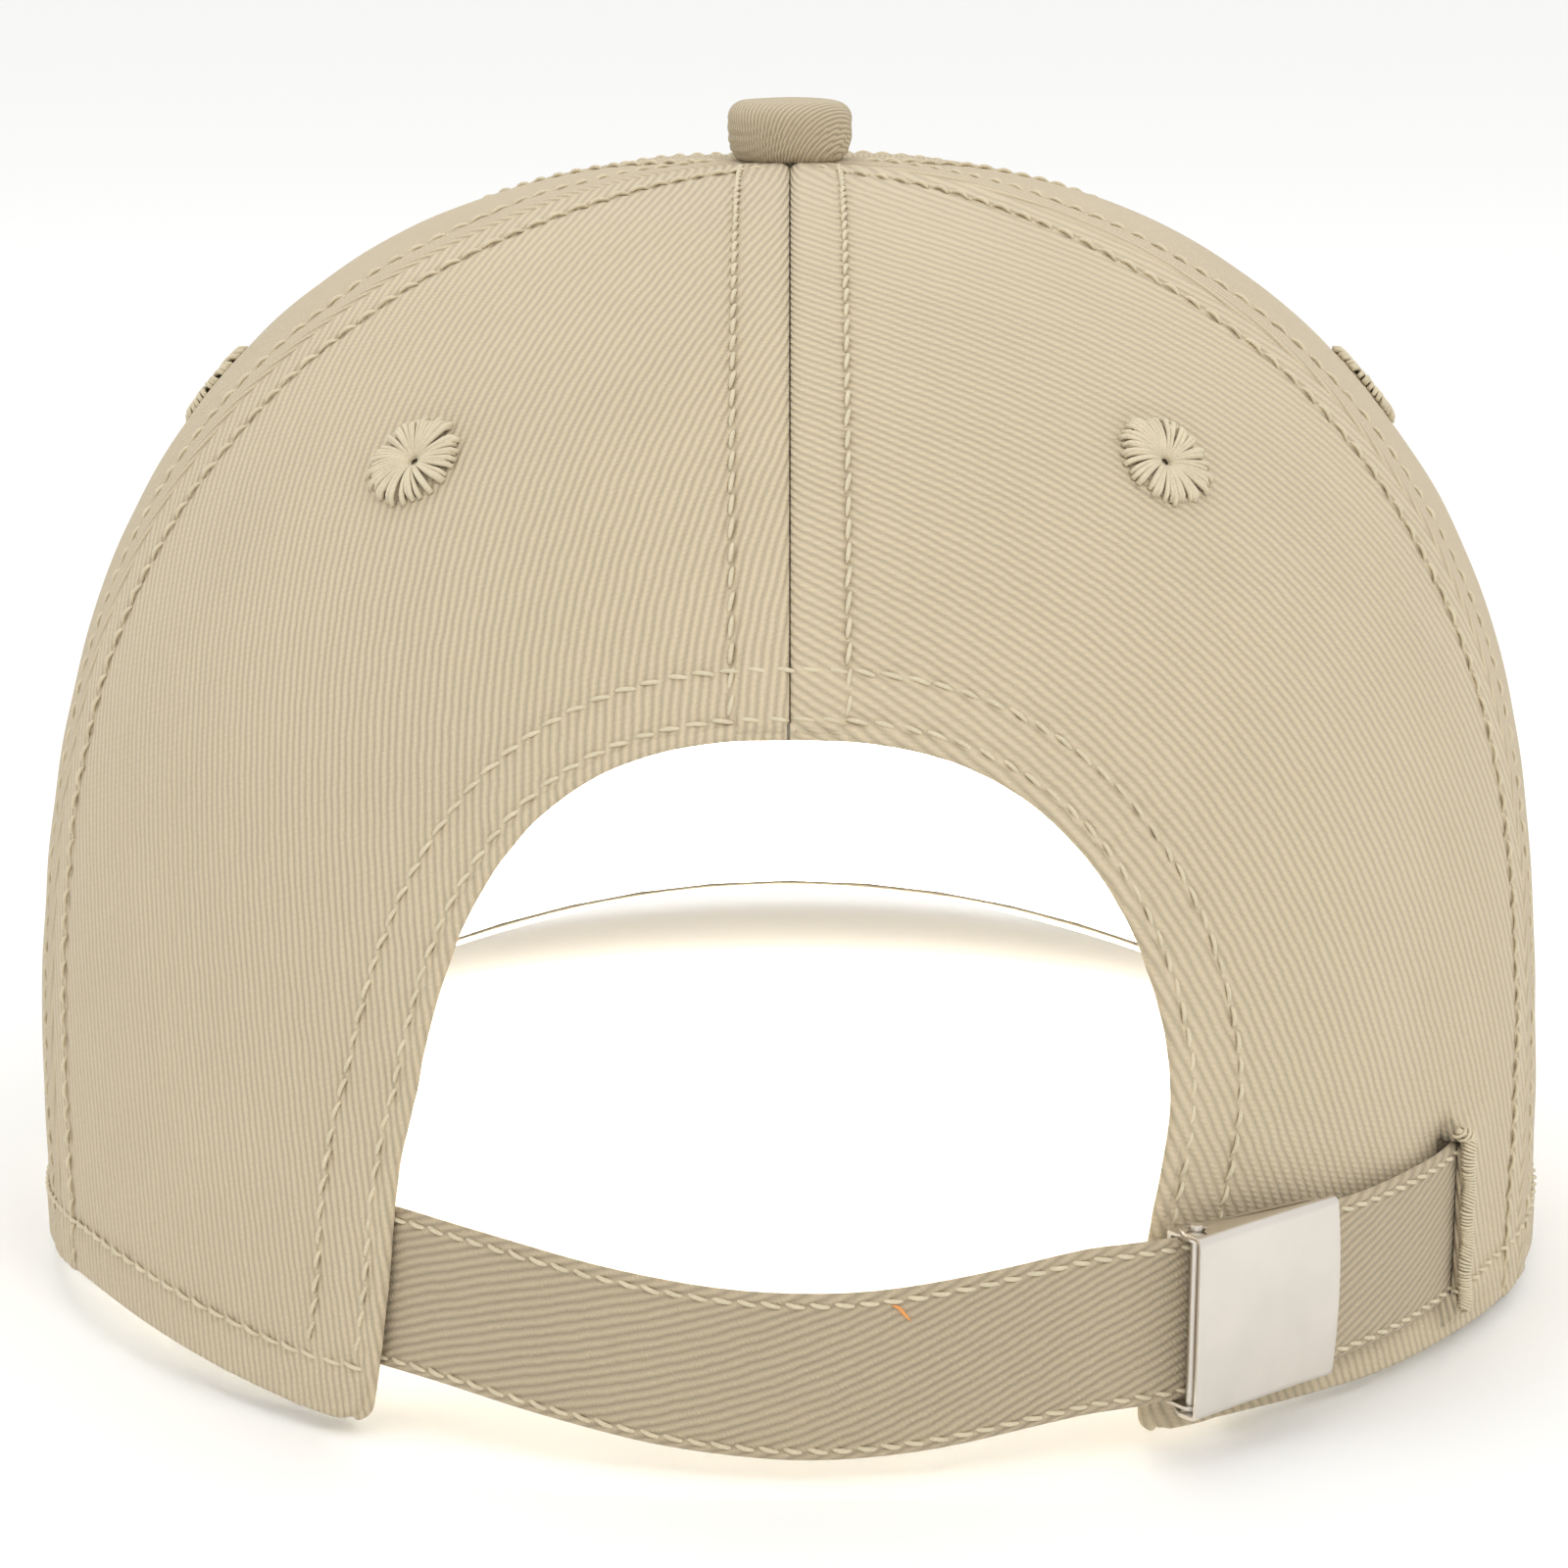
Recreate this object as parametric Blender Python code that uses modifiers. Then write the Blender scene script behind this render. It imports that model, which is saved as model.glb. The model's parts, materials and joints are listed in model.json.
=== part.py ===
"""A six-panel baseball cap with a back opening and a tuck-away strap on a hinged metal clasp.

Metres, +Z up. The origin is the centre of the head opening, in the plane of the rim.
+Y points out of the back opening, -Y over the visor, and +X to the wearer's left.
Every crown layer is a grid laid on one crown surface, at its own depth under the cloth.
"""

import math

import bmesh
import bpy
from mathutils import Matrix, Vector

# Crown: a rounded shell on an oval plan.
HALF_WIDTH = 0.0890
BACK_LENGTH = 0.0965
FRONT_LENGTH = 0.1030
CROWN_HEIGHT = 0.1262
CROWN_ROUNDNESS = 2.585
CROWN_BULGE = 0.035
SPREAD = 1.29
CROWN_HOLE_RADIUS = 0.0034

# Rim: level behind, bowed up on the left, raised over the visor.
RIM_BOW_LEFT = 0.0035
RIM_CORNER_RISE = 0.0025
RIM_FRONT_RISE = 0.0155
VISOR_HALF_ANGLE = math.radians(68)

# Cloth layers: thickness, and depth of the outer face under the crown surface.
PANEL_THICKNESS = 0.0009
SEAM_GAP = 0.0003
TAPE_DEPTH = 0.0014
TAPE_THICKNESS = 0.0005
TAPE_HALF_WIDTH = 0.0060
TAPE_TOP_RADIUS = 0.0062
BUCKRAM_THICKNESS = 0.0006
BUCKRAM_MARGIN = 0.0075
BUCKRAM_TOP_RADIUS = 0.0240
SWEATBAND_DEPTH = 0.0026
SWEATBAND_BACK_EXTRA = 0.0033
SWEATBAND_THICKNESS = 0.0012
SWEATBAND_HEIGHT = 0.0300
SWEATBAND_LIFT = 0.0008
SWEATBAND_END = math.radians(31)

# Back opening: an arch, wider to the left.
ARCH_TOP = 0.0744
ARCH_BASE = 0.0200
ARCH_HALF_WIDTH = 0.0404
ARCH_POWER = 2.47
ARCH_LEAN = 0.0008
ARCH_FLARE = 0.0029
ARCH_TUCK = 0.0036
ARCH_RELIEF = 0.0008
FACING_BOTTOM = 0.0270
FACING_CLEARANCE = 0.0006
FACING_WIDTH = 0.0115

# Seams, as plan angles from the back centre.
SIDE_SEAM_TOP = 57.0
SIDE_SEAM_TURN = 15.5
SIDE_SEAM_RETURN = 3.0
FRONT_SEAM = 120.0

# Embroidered eyelets.
EYELET_ANGLES = {"back": 35.6, "side": 95.0, "front": 150.0}
EYELET_RISE = 0.517
EYELET_RADIUS = 0.0056
EYELET_BORE = 0.0012
EYELET_SLEEVE = 0.0019
EYELET_HOLE = 0.0023
EYELET_LIFT = 0.00035
EYELET_THICKNESS = 0.0006

# Covered button on its shank, with a washer inside.
BUTTON_RADIUS = 0.00725
BUTTON_HEIGHT = 0.0070
BUTTON_LIFT = 0.0006
SHANK_RADIUS = 0.0013
WASHER_RADIUS = 0.0046
WASHER_THICKNESS = 0.0008

# Visor: a curved board between two cloth covers.
VISOR_REACH = 0.0700
VISOR_REACH_POWER = 0.45
VISOR_SLOPE = 0.12
VISOR_FLARE = 0.05
VISOR_CLEARANCE = 0.0005
BOARD_HALF_THICKNESS = 0.0010
COVER_LIFT = 0.00135
COVER_THICKNESS = 0.00075

# Strap: a band on a ring that runs inside the left panel and outside the right one.
STRAP_RADIUS = 0.0753
STRAP_CENTRE_X = -0.0046
STRAP_CENTRE_Y = 0.0239
STRAP_PLANE_HEIGHT = 0.0168
STRAP_PLANE_SLOPE_X = -0.0134
STRAP_PLANE_SLOPE_Y = 0.0300
STRAP_WIDTH = 0.0174
STRAP_THICKNESS = 0.0012
STRAP_START = math.radians(-46)
STRAP_END = math.radians(72)
STRAP_CLEARANCE = 0.0003
SLOT_START = math.radians(54)
SLOT_END = math.radians(84)
SLOT_STITCH_ANGLE = math.radians(-54.6)
SLOT_STITCH_LENGTH = 0.0066
SLOT_STITCH_HALF_HEIGHT = 0.0108
SLOT_STITCH_WIDTH = 0.0014

# Clasp, in its own axes: u along the strap, w outwards, n up the pin.
CLASP_ANGLE = math.radians(35.8)
CLASP_LEFT = -0.0104
CLASP_RIGHT = 0.0100
BASE_TOP = -0.00155
BASE_THICKNESS = 0.0006
EAR_INNER = 0.00895
EAR_THICKNESS = 0.0004
FLANGE_INNER = 0.00955
FLANGE_THICKNESS = 0.0004
PIN_U = -0.0092
PIN_W = 0.00105
PIN_RADIUS = 0.0006
PIN_HOLE = 0.0007
PIN_HALF_LENGTH = 0.0106
COVER_LEFT = -0.0109
COVER_RIGHT = 0.0106
COVER_FACE_LEFT = 0.0039
COVER_FACE_RIGHT = 0.00062
COVER_PLATE = 0.0005
FLANGE_BACK = -0.0008
BAR_HALF_WIDTH = 0.0016
WINDOW_OUTER = 0.0036
WINDOW_HALF_HEIGHT = 0.0066
TAB_HALF_HEIGHT = 0.0060
TAB_THICKNESS = 0.0004
TAB_GAP = 0.00022
TAB_TAIL = 0.0070

KHAKI = (0.66, 0.56, 0.38)
THREAD = (0.74, 0.65, 0.47)
WHITE_COTTON = (0.86, 0.84, 0.78)
BUCKRAM_WHITE = (0.88, 0.88, 0.85)
BOARD_WHITE = (0.80, 0.80, 0.78)
NICKEL = (0.66, 0.64, 0.59)
STEEL = (0.62, 0.62, 0.62)

PANELS = ("back_left", "side_left", "front_left", "front_right", "side_right", "back_right")


# ---------------------------------------------------------------- scene helpers

def clear_scene():
    for old in list(bpy.data.objects):
        bpy.data.objects.remove(old, do_unlink=True)


def new_collection(name):
    made = bpy.data.collections.new(name)
    bpy.context.scene.collection.children.link(made)
    return made


def material(name, colour, roughness, metallic=0.0):
    made = bpy.data.materials.get(name)
    if made is None:
        made = bpy.data.materials.new(name)
        made.use_nodes = True
        shader = made.node_tree.nodes["Principled BSDF"]
        shader.inputs["Base Color"].default_value = (*colour, 1.0)
        shader.inputs["Roughness"].default_value = roughness
        shader.inputs["Metallic"].default_value = metallic
        made.diffuse_color = (*colour, 1.0)
    return made


def put_in(obj, collection):
    for other in list(obj.users_collection):
        other.objects.unlink(obj)
    collection.objects.link(obj)


def finish_piece(obj, name, look, smooth=True):
    obj.name = name
    obj.data.name = name
    obj.data.materials.clear()
    obj.data.materials.append(look)
    if smooth:
        obj.data.shade_smooth()
        obj.data.set_sharp_from_angle(angle=math.radians(35))
    put_in(obj, CAP)
    return obj


def as_cutter(obj):
    obj.hide_render = True
    obj.display_type = "WIRE"
    put_in(obj, CUTTERS)
    return obj


def cut(obj, cutter):
    change = obj.modifiers.new("cut", "BOOLEAN")
    change.operation = "DIFFERENCE"
    change.solver = "EXACT"
    change.object = cutter


def join(obj, other):
    change = obj.modifiers.new("join", "BOOLEAN")
    change.operation = "UNION"
    change.solver = "EXACT"
    change.object = other


def grid(steps_u, steps_v, place):
    """A grid whose corners (u, v), each from 0 to 1, go to place(u, v)."""
    bpy.ops.mesh.primitive_grid_add(x_subdivisions=steps_u, y_subdivisions=steps_v, size=1.0)
    obj = bpy.context.active_object
    for vertex in obj.data.vertices:
        vertex.co = place(vertex.co.x + 0.5, vertex.co.y + 0.5)
    return obj


def thicken(obj, thickness, offset):
    change = obj.modifiers.new("cloth", "SOLIDIFY")
    change.thickness = thickness
    change.offset = offset
    change.use_even_offset = True


def face_out(obj, outward):
    """Turns an open sheet's faces so that their normals follow outward(centre)."""
    first = obj.data.polygons[len(obj.data.polygons) // 2]
    if first.normal.dot(outward(first.center)) < 0:
        obj.data.flip_normals()
    return obj


def turned(name, profile, look, matrix, steps=24):
    """A profile of (radius, height) points, closed and turned about its axis."""
    mesh = bpy.data.meshes.new(name)
    points = [(radius, 0.0, height) for radius, height in profile]
    on_axis = profile[0][0] == 0.0 and profile[-1][0] == 0.0
    ring = len(points) - (1 if on_axis else 0)
    edges = [(i, (i + 1) % len(points)) for i in range(ring)]
    mesh.from_pydata(points, edges, [])
    obj = bpy.data.objects.new(name, mesh)
    CAP.objects.link(obj)
    change = obj.modifiers.new("turn", "SCREW")
    change.axis = "Z"
    change.steps = steps
    change.render_steps = steps
    change.use_merge_vertices = True
    change.merge_threshold = 0.00001
    obj.matrix_world = matrix
    return finish_piece(obj, name, look, smooth=False)


def prism(name, outline, half_depth, matrix):
    """A flat outline in x and y, filled and made 2 * half_depth thick along z."""
    curve = bpy.data.curves.new(name, "CURVE")
    curve.dimensions = "2D"
    curve.fill_mode = "BOTH"
    curve.extrude = half_depth
    spline = curve.splines.new("POLY")
    spline.points.add(len(outline) - 1)
    for point, (x, y) in zip(spline.points, outline):
        point.co = (x, y, 0.0, 1.0)
    spline.use_cyclic_u = True
    drawn = bpy.data.objects.new(name, curve)
    bpy.context.scene.collection.objects.link(drawn)
    bpy.context.view_layer.update()
    evaluated = drawn.evaluated_get(bpy.context.evaluated_depsgraph_get())
    mesh = bpy.data.meshes.new_from_object(evaluated)
    bpy.data.objects.remove(drawn, do_unlink=True)
    bpy.data.curves.remove(curve)
    welded = bmesh.new()
    welded.from_mesh(mesh)
    bmesh.ops.remove_doubles(welded, verts=welded.verts, dist=0.000001)
    bmesh.ops.recalc_face_normals(welded, faces=welded.faces)
    welded.to_mesh(mesh)
    welded.free()
    obj = bpy.data.objects.new(name, mesh)
    CAP.objects.link(obj)
    obj.matrix_world = matrix
    return obj


def rod(name, radius, half_length, matrix, sides=24):
    bpy.ops.mesh.primitive_cylinder_add(vertices=sides, radius=radius, depth=2 * half_length)
    obj = bpy.context.active_object
    obj.name = name
    obj.matrix_world = matrix
    return obj


# ---------------------------------------------------------------- crown surface

def smooth_step(value, start, end):
    t = min(1.0, max(0.0, (value - start) / (end - start)))
    return t * t * (3 - 2 * t)


def meridian_angle(rise):
    """The meridian's angle for a rise from 0 at the rim plane to 1 at the button."""
    low = rise ** SPREAD
    high = (1 - rise) ** SPREAD
    return math.pi / 2 * low / (low + high)


def rise_of_angle(angle):
    share = angle / (math.pi / 2)
    ratio = (share / (1 - share)) ** (1 / SPREAD)
    return ratio / (1 + ratio)


def rise_at_height(height):
    if height <= 0:
        return 0.0
    return rise_of_angle(math.asin((height / CROWN_HEIGHT) ** (CROWN_ROUNDNESS / 2)))


def spread_at(rise):
    """How far out the crown reaches at a rise, as a share of its size at the rim."""
    angle = meridian_angle(rise)
    return math.cos(angle) ** (2 / CROWN_ROUNDNESS) * (1 + CROWN_BULGE * math.sin(2 * angle))


def rise_at_radius(radius):
    low, high = 0.5, 1.0
    for _ in range(40):
        middle = (low + high) / 2
        if spread_at(middle) * HALF_WIDTH > radius:
            low = middle
        else:
            high = middle
    return low


def surface_point(angle, rise):
    reach = spread_at(rise)
    height = CROWN_HEIGHT * math.sin(meridian_angle(rise)) ** (2 / CROWN_ROUNDNESS)
    length = BACK_LENGTH if math.cos(angle) > 0 else FRONT_LENGTH
    return Vector((HALF_WIDTH * reach * math.sin(angle), length * reach * math.cos(angle), height))


def surface_normal(angle, rise):
    step = 0.002
    low = max(0.0, rise - step)
    high = min(1.0 - step, rise + step)
    along = surface_point(angle + step, rise) - surface_point(angle - step, rise)
    up = surface_point(angle, high) - surface_point(angle, low)
    return up.cross(along).normalized()


def crown_point(angle, rise, depth=0.0):
    return surface_point(angle, rise) - depth * surface_normal(angle, rise)


def rim_height(angle):
    """The rim's height at a plan angle from the back centre."""
    degrees = math.degrees(angle)
    from_front = math.pi - abs(angle)
    if from_front < VISOR_HALF_ANGLE:
        share = math.sin(from_front) / math.sin(VISOR_HALF_ANGLE)
        return RIM_CORNER_RISE + RIM_FRONT_RISE * (1 - share * share)
    blend = 1 - smooth_step(from_front, VISOR_HALF_ANGLE, math.radians(88))
    bow = math.sin(math.pi * (degrees - 30) / 60) ** 2 if 30 < degrees < 90 else 0.0
    return RIM_CORNER_RISE * blend + RIM_BOW_LEFT * bow


def side_seam(rise):
    """Plan angle of the seam between a back and a side panel, in degrees."""
    turn = SIDE_SEAM_TURN * (1 - smooth_step(rise, 0.30, 0.85))
    return SIDE_SEAM_TOP + turn - SIDE_SEAM_RETURN * (1 - smooth_step(rise, 0.0, 0.4))


SEAMS = {
    "back": lambda rise: 0.0,
    "back_left": lambda rise: math.radians(side_seam(rise)),
    "front_left": lambda rise: math.radians(FRONT_SEAM),
    "front": lambda rise: math.pi,
    "front_right": lambda rise: 2 * math.pi - math.radians(FRONT_SEAM),
    "back_right": lambda rise: 2 * math.pi - math.radians(side_seam(rise)),
    "back_again": lambda rise: 2 * math.pi,
}


def wrapped(angle):
    """The same angle between minus and plus half a turn."""
    return math.atan2(math.sin(angle), math.cos(angle))


def outward(point):
    return Vector((point.x, point.y, max(point.z - 0.03, 0.0)))


# ---------------------------------------------------------------- crown pieces

def panel(name, first_seam, last_seam, look):
    top = rise_at_radius(CROWN_HOLE_RADIUS)

    def place(u, v):
        middle = v * top
        first = SEAMS[first_seam](middle)
        last = SEAMS[last_seam](middle)
        gap = SEAM_GAP / 2 / max(HALF_WIDTH * spread_at(middle), CROWN_HOLE_RADIUS)
        angle = first + gap + (last - first - 2 * gap) * u
        bottom = rise_at_height(rim_height(wrapped(angle)))
        return crown_point(angle, bottom + (top - bottom) * v)

    obj = face_out(grid(9, 18, place), outward)
    thicken(obj, PANEL_THICKNESS, -1)
    return finish_piece(obj, name, look)


def arch_shift(side, height):
    """How far to the left the arch's edge is drawn: it leans, and both of its legs bend at the rim."""
    lean = ARCH_LEAN * math.sin(math.pi * max(0.0, min(1.0, (height - 0.024) / 0.050)))
    if side > 0:
        relief = ARCH_RELIEF * smooth_step(0.038 - height, 0.0, 0.010)
        return ARCH_FLARE * max(0.0, (0.030 - height) / 0.030) ** 1.5 + relief - lean
    return ARCH_TUCK * smooth_step(0.040 - height, 0.0, 0.028) - lean


def arch_point(share, extra=0.0):
    """A point (x, z) on the arch, share -1 at the lower right to 1 at the lower left."""
    turn = share * math.pi / 2
    x = ARCH_HALF_WIDTH * math.copysign(abs(math.sin(turn)) ** (2 / ARCH_POWER), share)
    z = ARCH_BASE + (ARCH_TOP - ARCH_BASE) * math.cos(turn) ** (2 / ARCH_POWER)
    out = Vector((x / ARCH_HALF_WIDTH ** 2, (z - ARCH_BASE) / (ARCH_TOP - ARCH_BASE) ** 2)).normalized()
    return x + arch_shift(share, z) + extra * out.x, z + extra * out.y


def arch_leg(side):
    """Points (x, z) on one leg of the arch, from below the rim upwards."""
    heights = [0.0, 0.005, 0.010, 0.015]
    edge = [(side * ARCH_HALF_WIDTH + arch_shift(side, height), height) for height in heights]
    return [(edge[0][0], -0.010)] + edge


def arch_cutter():
    upper = [arch_point(1 - i / 12) for i in range(25)]
    outline = arch_leg(1) + upper + arch_leg(-1)[::-1]
    stand = Matrix.Translation((0, 0.080, 0)) @ Matrix.Rotation(math.pi / 2, 4, "X")
    return as_cutter(prism("arch_cutter", outline, 0.040, stand))


def on_crown(x, z, depth):
    """The point at depth under the back of the crown, at sideways place x and height z."""
    rise = rise_at_height(z)
    angle = math.asin(max(-1.0, min(1.0, x / (HALF_WIDTH * spread_at(rise)))))
    return crown_point(angle, rise, depth)


def arch_facing(look):
    limit = 0.0
    for i in range(101):
        if arch_point(i / 100)[1] > FACING_BOTTOM:
            limit = i / 100

    def place(u, v):
        share = limit * (2 * u - 1)
        x, z = arch_point(share, FACING_CLEARANCE + FACING_WIDTH * v)
        return on_crown(x, z, TAPE_DEPTH)

    obj = face_out(grid(32, 3, place), outward)
    thicken(obj, TAPE_THICKNESS, -1)
    return finish_piece(obj, "arch_facing", look)


def seam_tape(name, seam, look, bottom_height):
    top = rise_at_radius(TAPE_TOP_RADIUS)

    def place(u, v):
        angle = SEAMS[seam](0.0)
        bottom = rise_at_height(bottom_height + rim_height(wrapped(angle)))
        rise = bottom + (top - bottom) * v
        radius = HALF_WIDTH * spread_at(rise)
        half = min(TAPE_HALF_WIDTH, radius * math.tan(math.radians(25)) - SEAM_GAP)
        angle = SEAMS[seam](rise) + (2 * u - 1) * half / radius
        return crown_point(angle, rise, TAPE_DEPTH)

    obj = face_out(grid(3, 20, place), outward)
    thicken(obj, TAPE_THICKNESS, -1)
    return finish_piece(obj, name, look)


def buckram(name, first_seam, last_seam, look):
    top = rise_at_radius(BUCKRAM_TOP_RADIUS)

    def place(u, v):
        middle = v * top
        radius = HALF_WIDTH * spread_at(middle)
        margin = BUCKRAM_MARGIN / radius
        first = SEAMS[first_seam](middle) + margin
        last = SEAMS[last_seam](middle) - margin
        angle = first + (last - first) * u
        bottom = rise_at_height(rim_height(wrapped(angle)) + 0.0015)
        return crown_point(angle, bottom + (top - bottom) * v, TAPE_DEPTH)

    obj = face_out(grid(6, 12, place), outward)
    thicken(obj, BUCKRAM_THICKNESS, -1)
    return finish_piece(obj, name, look)


def sweatband(look):
    sweep = 2 * math.pi - 2 * SWEATBAND_END

    def place(u, v):
        angle = SWEATBAND_END + sweep * u
        from_back = abs(wrapped(angle))
        extra = 1 - smooth_step(from_back, math.radians(62), math.radians(92))
        height = rim_height(wrapped(angle)) + SWEATBAND_LIFT + SWEATBAND_HEIGHT * v
        depth = SWEATBAND_DEPTH + SWEATBAND_BACK_EXTRA * extra
        return crown_point(angle, rise_at_height(height), depth)

    obj = face_out(grid(60, 4, place), outward)
    thicken(obj, SWEATBAND_THICKNESS, -1)
    return finish_piece(obj, "sweatband", look)


def eyelet_frame(angle):
    """A matrix at an eyelet's centre, with z along the crown's outward normal."""
    normal = surface_normal(angle, EYELET_RISE)
    matrix = normal.to_track_quat("Z", "Y").to_matrix().to_4x4()
    matrix.translation = surface_point(angle, EYELET_RISE)
    return matrix


def eyelet(name, angle, look):
    top = EYELET_LIFT + EYELET_THICKNESS
    bottom = -PANEL_THICKNESS - EYELET_LIFT
    profile = [
        (EYELET_BORE, top - 0.0002),
        (EYELET_BORE + 0.0004, top),
        (EYELET_RADIUS - 0.0006, top),
        (EYELET_RADIUS, EYELET_LIFT + 0.0002),
        (EYELET_RADIUS, EYELET_LIFT),
        (EYELET_SLEEVE, EYELET_LIFT),
        (EYELET_SLEEVE, bottom),
        (EYELET_BORE, bottom),
    ]
    return turned(name, profile, look, eyelet_frame(angle))


def eyelet_cutter(name, angle):
    return as_cutter(rod(name, EYELET_HOLE, 0.003, eyelet_frame(angle)))


# ---------------------------------------------------------------- button

def button(fabric, metal):
    base = Matrix.Translation((0, 0, CROWN_HEIGHT))
    dome = 8
    lip = 0.0048
    wall = 0.0008
    rim_z = 0.0026

    def dome_points(radius, height):
        turns = [i / dome * math.pi / 2 for i in range(dome + 1)]
        return [(radius * math.sin(t), rim_z + (height - rim_z) * math.cos(t)) for t in turns]

    outer = dome_points(BUTTON_RADIUS, BUTTON_HEIGHT)
    inner = dome_points(BUTTON_RADIUS - wall, BUTTON_HEIGHT - wall)
    under = [(BUTTON_RADIUS - 0.0007, BUTTON_LIFT + 0.0003), (lip, BUTTON_LIFT)]
    under += [(lip, BUTTON_LIFT + wall * 0.8), (BUTTON_RADIUS - wall - 0.0007, BUTTON_LIFT + 0.0011)]
    turned("button_cover", outer + under + inner[::-1], fabric, base)

    core = dome_points(BUTTON_RADIUS - wall - 0.0009, BUTTON_HEIGHT - wall - 0.0004)
    washer_top = -PANEL_THICKNESS - TAPE_THICKNESS
    clench = washer_top - WASHER_THICKNESS - 0.0003
    core += [
        (BUTTON_RADIUS - wall - 0.0009, rim_z - 0.0003),
        (SHANK_RADIUS, rim_z - 0.0003),
        (SHANK_RADIUS, clench),
        (SHANK_RADIUS + 0.0010, clench),
        (SHANK_RADIUS + 0.0008, clench - 0.0006),
        (0.0, clench - 0.0008),
    ]
    turned("button_core", core, metal, base)
    hole = SHANK_RADIUS + 0.0004
    washer = [
        (hole, washer_top),
        (WASHER_RADIUS, washer_top),
        (WASHER_RADIUS, washer_top - WASHER_THICKNESS),
        (hole, washer_top - WASHER_THICKNESS),
    ]
    turned("button_washer", washer, metal, base)


# ---------------------------------------------------------------- visor

def visor_point(across, forward, lift=0.0):
    """across runs -1 to 1 along the rim, forward 0 at the crown to 1 at the edge."""
    turn = across * VISOR_HALF_ANGLE
    reach = VISOR_REACH * max(0.0, 1 - across * across) ** VISOR_REACH_POWER
    x = (HALF_WIDTH + VISOR_CLEARANCE) * math.sin(turn) * (1 + VISOR_FLARE * forward)
    y = -(FRONT_LENGTH + VISOR_CLEARANCE) * math.cos(turn) - reach * forward
    z = rim_height(math.pi - abs(turn)) - VISOR_SLOPE * reach * forward
    return Vector((x, y, z + lift))


def visor_layer(name, lift, thickness, inset, look):
    """A layer whose underside is at lift; inset keeps its edge inside the other layers."""
    end = 0.985 - inset

    def place(u, v):
        across = math.sin(math.pi / 2 * (2 * u - 1)) * end
        forward = inset + (1 - 2 * inset) * v
        return visor_point(across, forward, lift)

    obj = face_out(grid(30, 8, place), lambda centre: Vector((0, 0, 1)))
    thicken(obj, thickness, 1)
    return finish_piece(obj, name, look)


def visor(fabric, board_look):
    half = BOARD_HALF_THICKNESS
    visor_layer("visor_upper_cover", COVER_LIFT, COVER_THICKNESS, 0.0, fabric)
    visor_layer("visor_board", -half, 2 * half, 0.018, board_look)
    visor_layer("visor_under_cover", -COVER_LIFT - COVER_THICKNESS, COVER_THICKNESS, 0.0, fabric)


# ---------------------------------------------------------------- strap and slot

def strap_axes():
    """The strap ring's centre, and its axes: x to the left, y to the back, z up its axle."""
    up = Vector((STRAP_PLANE_SLOPE_X, STRAP_PLANE_SLOPE_Y, 1.0)).normalized()
    back = (Vector((0, 1, 0)) - up * up.y).normalized()
    left = back.cross(up)
    drop = STRAP_PLANE_SLOPE_X * STRAP_CENTRE_X + STRAP_PLANE_SLOPE_Y * STRAP_CENTRE_Y
    centre = Vector((STRAP_CENTRE_X, STRAP_CENTRE_Y, STRAP_PLANE_HEIGHT - drop))
    return centre, left, back, up


def strap_point(turn, up_by=0.0, out_by=0.0):
    """A point of the strap's ring; turn grows from the back centre to the right."""
    centre, left, back, up = strap_axes()
    radial = back * math.cos(turn) - left * math.sin(turn)
    return centre + radial * (STRAP_RADIUS + out_by) + up * up_by


def strap_band(name, start, end, width, thickness, steps):
    obj = grid(steps, 2, lambda u, v: strap_point(start + (end - start) * u, width * (v - 0.5)))
    face_out(obj, lambda centre: Vector((centre.x, centre.y, 0)))
    thicken(obj, thickness, 0)
    obj.name = name
    return obj


def strap(look):
    obj = strap_band("strap", STRAP_START, STRAP_END, STRAP_WIDTH, STRAP_THICKNESS, 40)
    return finish_piece(obj, "strap", look)


def slot_cutter():
    extra = 2 * STRAP_CLEARANCE
    return as_cutter(strap_band("slot_cutter", SLOT_START, SLOT_END, STRAP_WIDTH + extra,
                                STRAP_THICKNESS + extra, 16))


def slot_stitching(look):
    """A thread rim on the panel, round the end of the slot that the strap's tail enters."""
    middle = strap_point(math.radians(66)).z

    def place(u, v):
        turn = math.pi * (u - 0.5)
        bow = math.cos(turn) ** 0.5 if abs(turn) < math.pi / 2 - 1e-6 else 0.0
        reach = SLOT_STITCH_LENGTH + SLOT_STITCH_WIDTH * (v - 0.5)
        half = SLOT_STITCH_HALF_HEIGHT + SLOT_STITCH_WIDTH * (v - 0.5)
        height = middle + half * math.copysign(abs(math.sin(turn)) ** 0.5, turn)
        rise = rise_at_height(height)
        angle = SLOT_STITCH_ANGLE - reach * bow / BACK_LENGTH
        return crown_point(angle, rise, -0.00035)

    obj = face_out(grid(24, 1, place), outward)
    thicken(obj, 0.0004, 1)
    return finish_piece(obj, "strap_slot_stitching", look)


# ---------------------------------------------------------------- clasp

def clasp_matrix(shift_n=0.0):
    """The clasp's axes: x is u, y is w and z is n, which points down."""
    centre, left, back, up = strap_axes()
    w = back * math.cos(CLASP_ANGLE) - left * math.sin(CLASP_ANGLE)
    u = -back * math.sin(CLASP_ANGLE) - left * math.cos(CLASP_ANGLE)
    down = u.cross(w)
    origin = centre + w * STRAP_RADIUS - down * shift_n
    return Matrix((
        (u.x, w.x, down.x, origin.x),
        (u.y, w.y, down.y, origin.y),
        (u.z, w.z, down.z, origin.z),
        (0, 0, 0, 1),
    ))


def rectangle(left, right, low, high):
    return [(left, low), (right, low), (right, high), (left, high)]


def pin_hole_cutter(name, half_length):
    place = clasp_matrix() @ Matrix.Translation((PIN_U, PIN_W, 0))
    return as_cutter(rod(name, PIN_HOLE, half_length, place))


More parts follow.
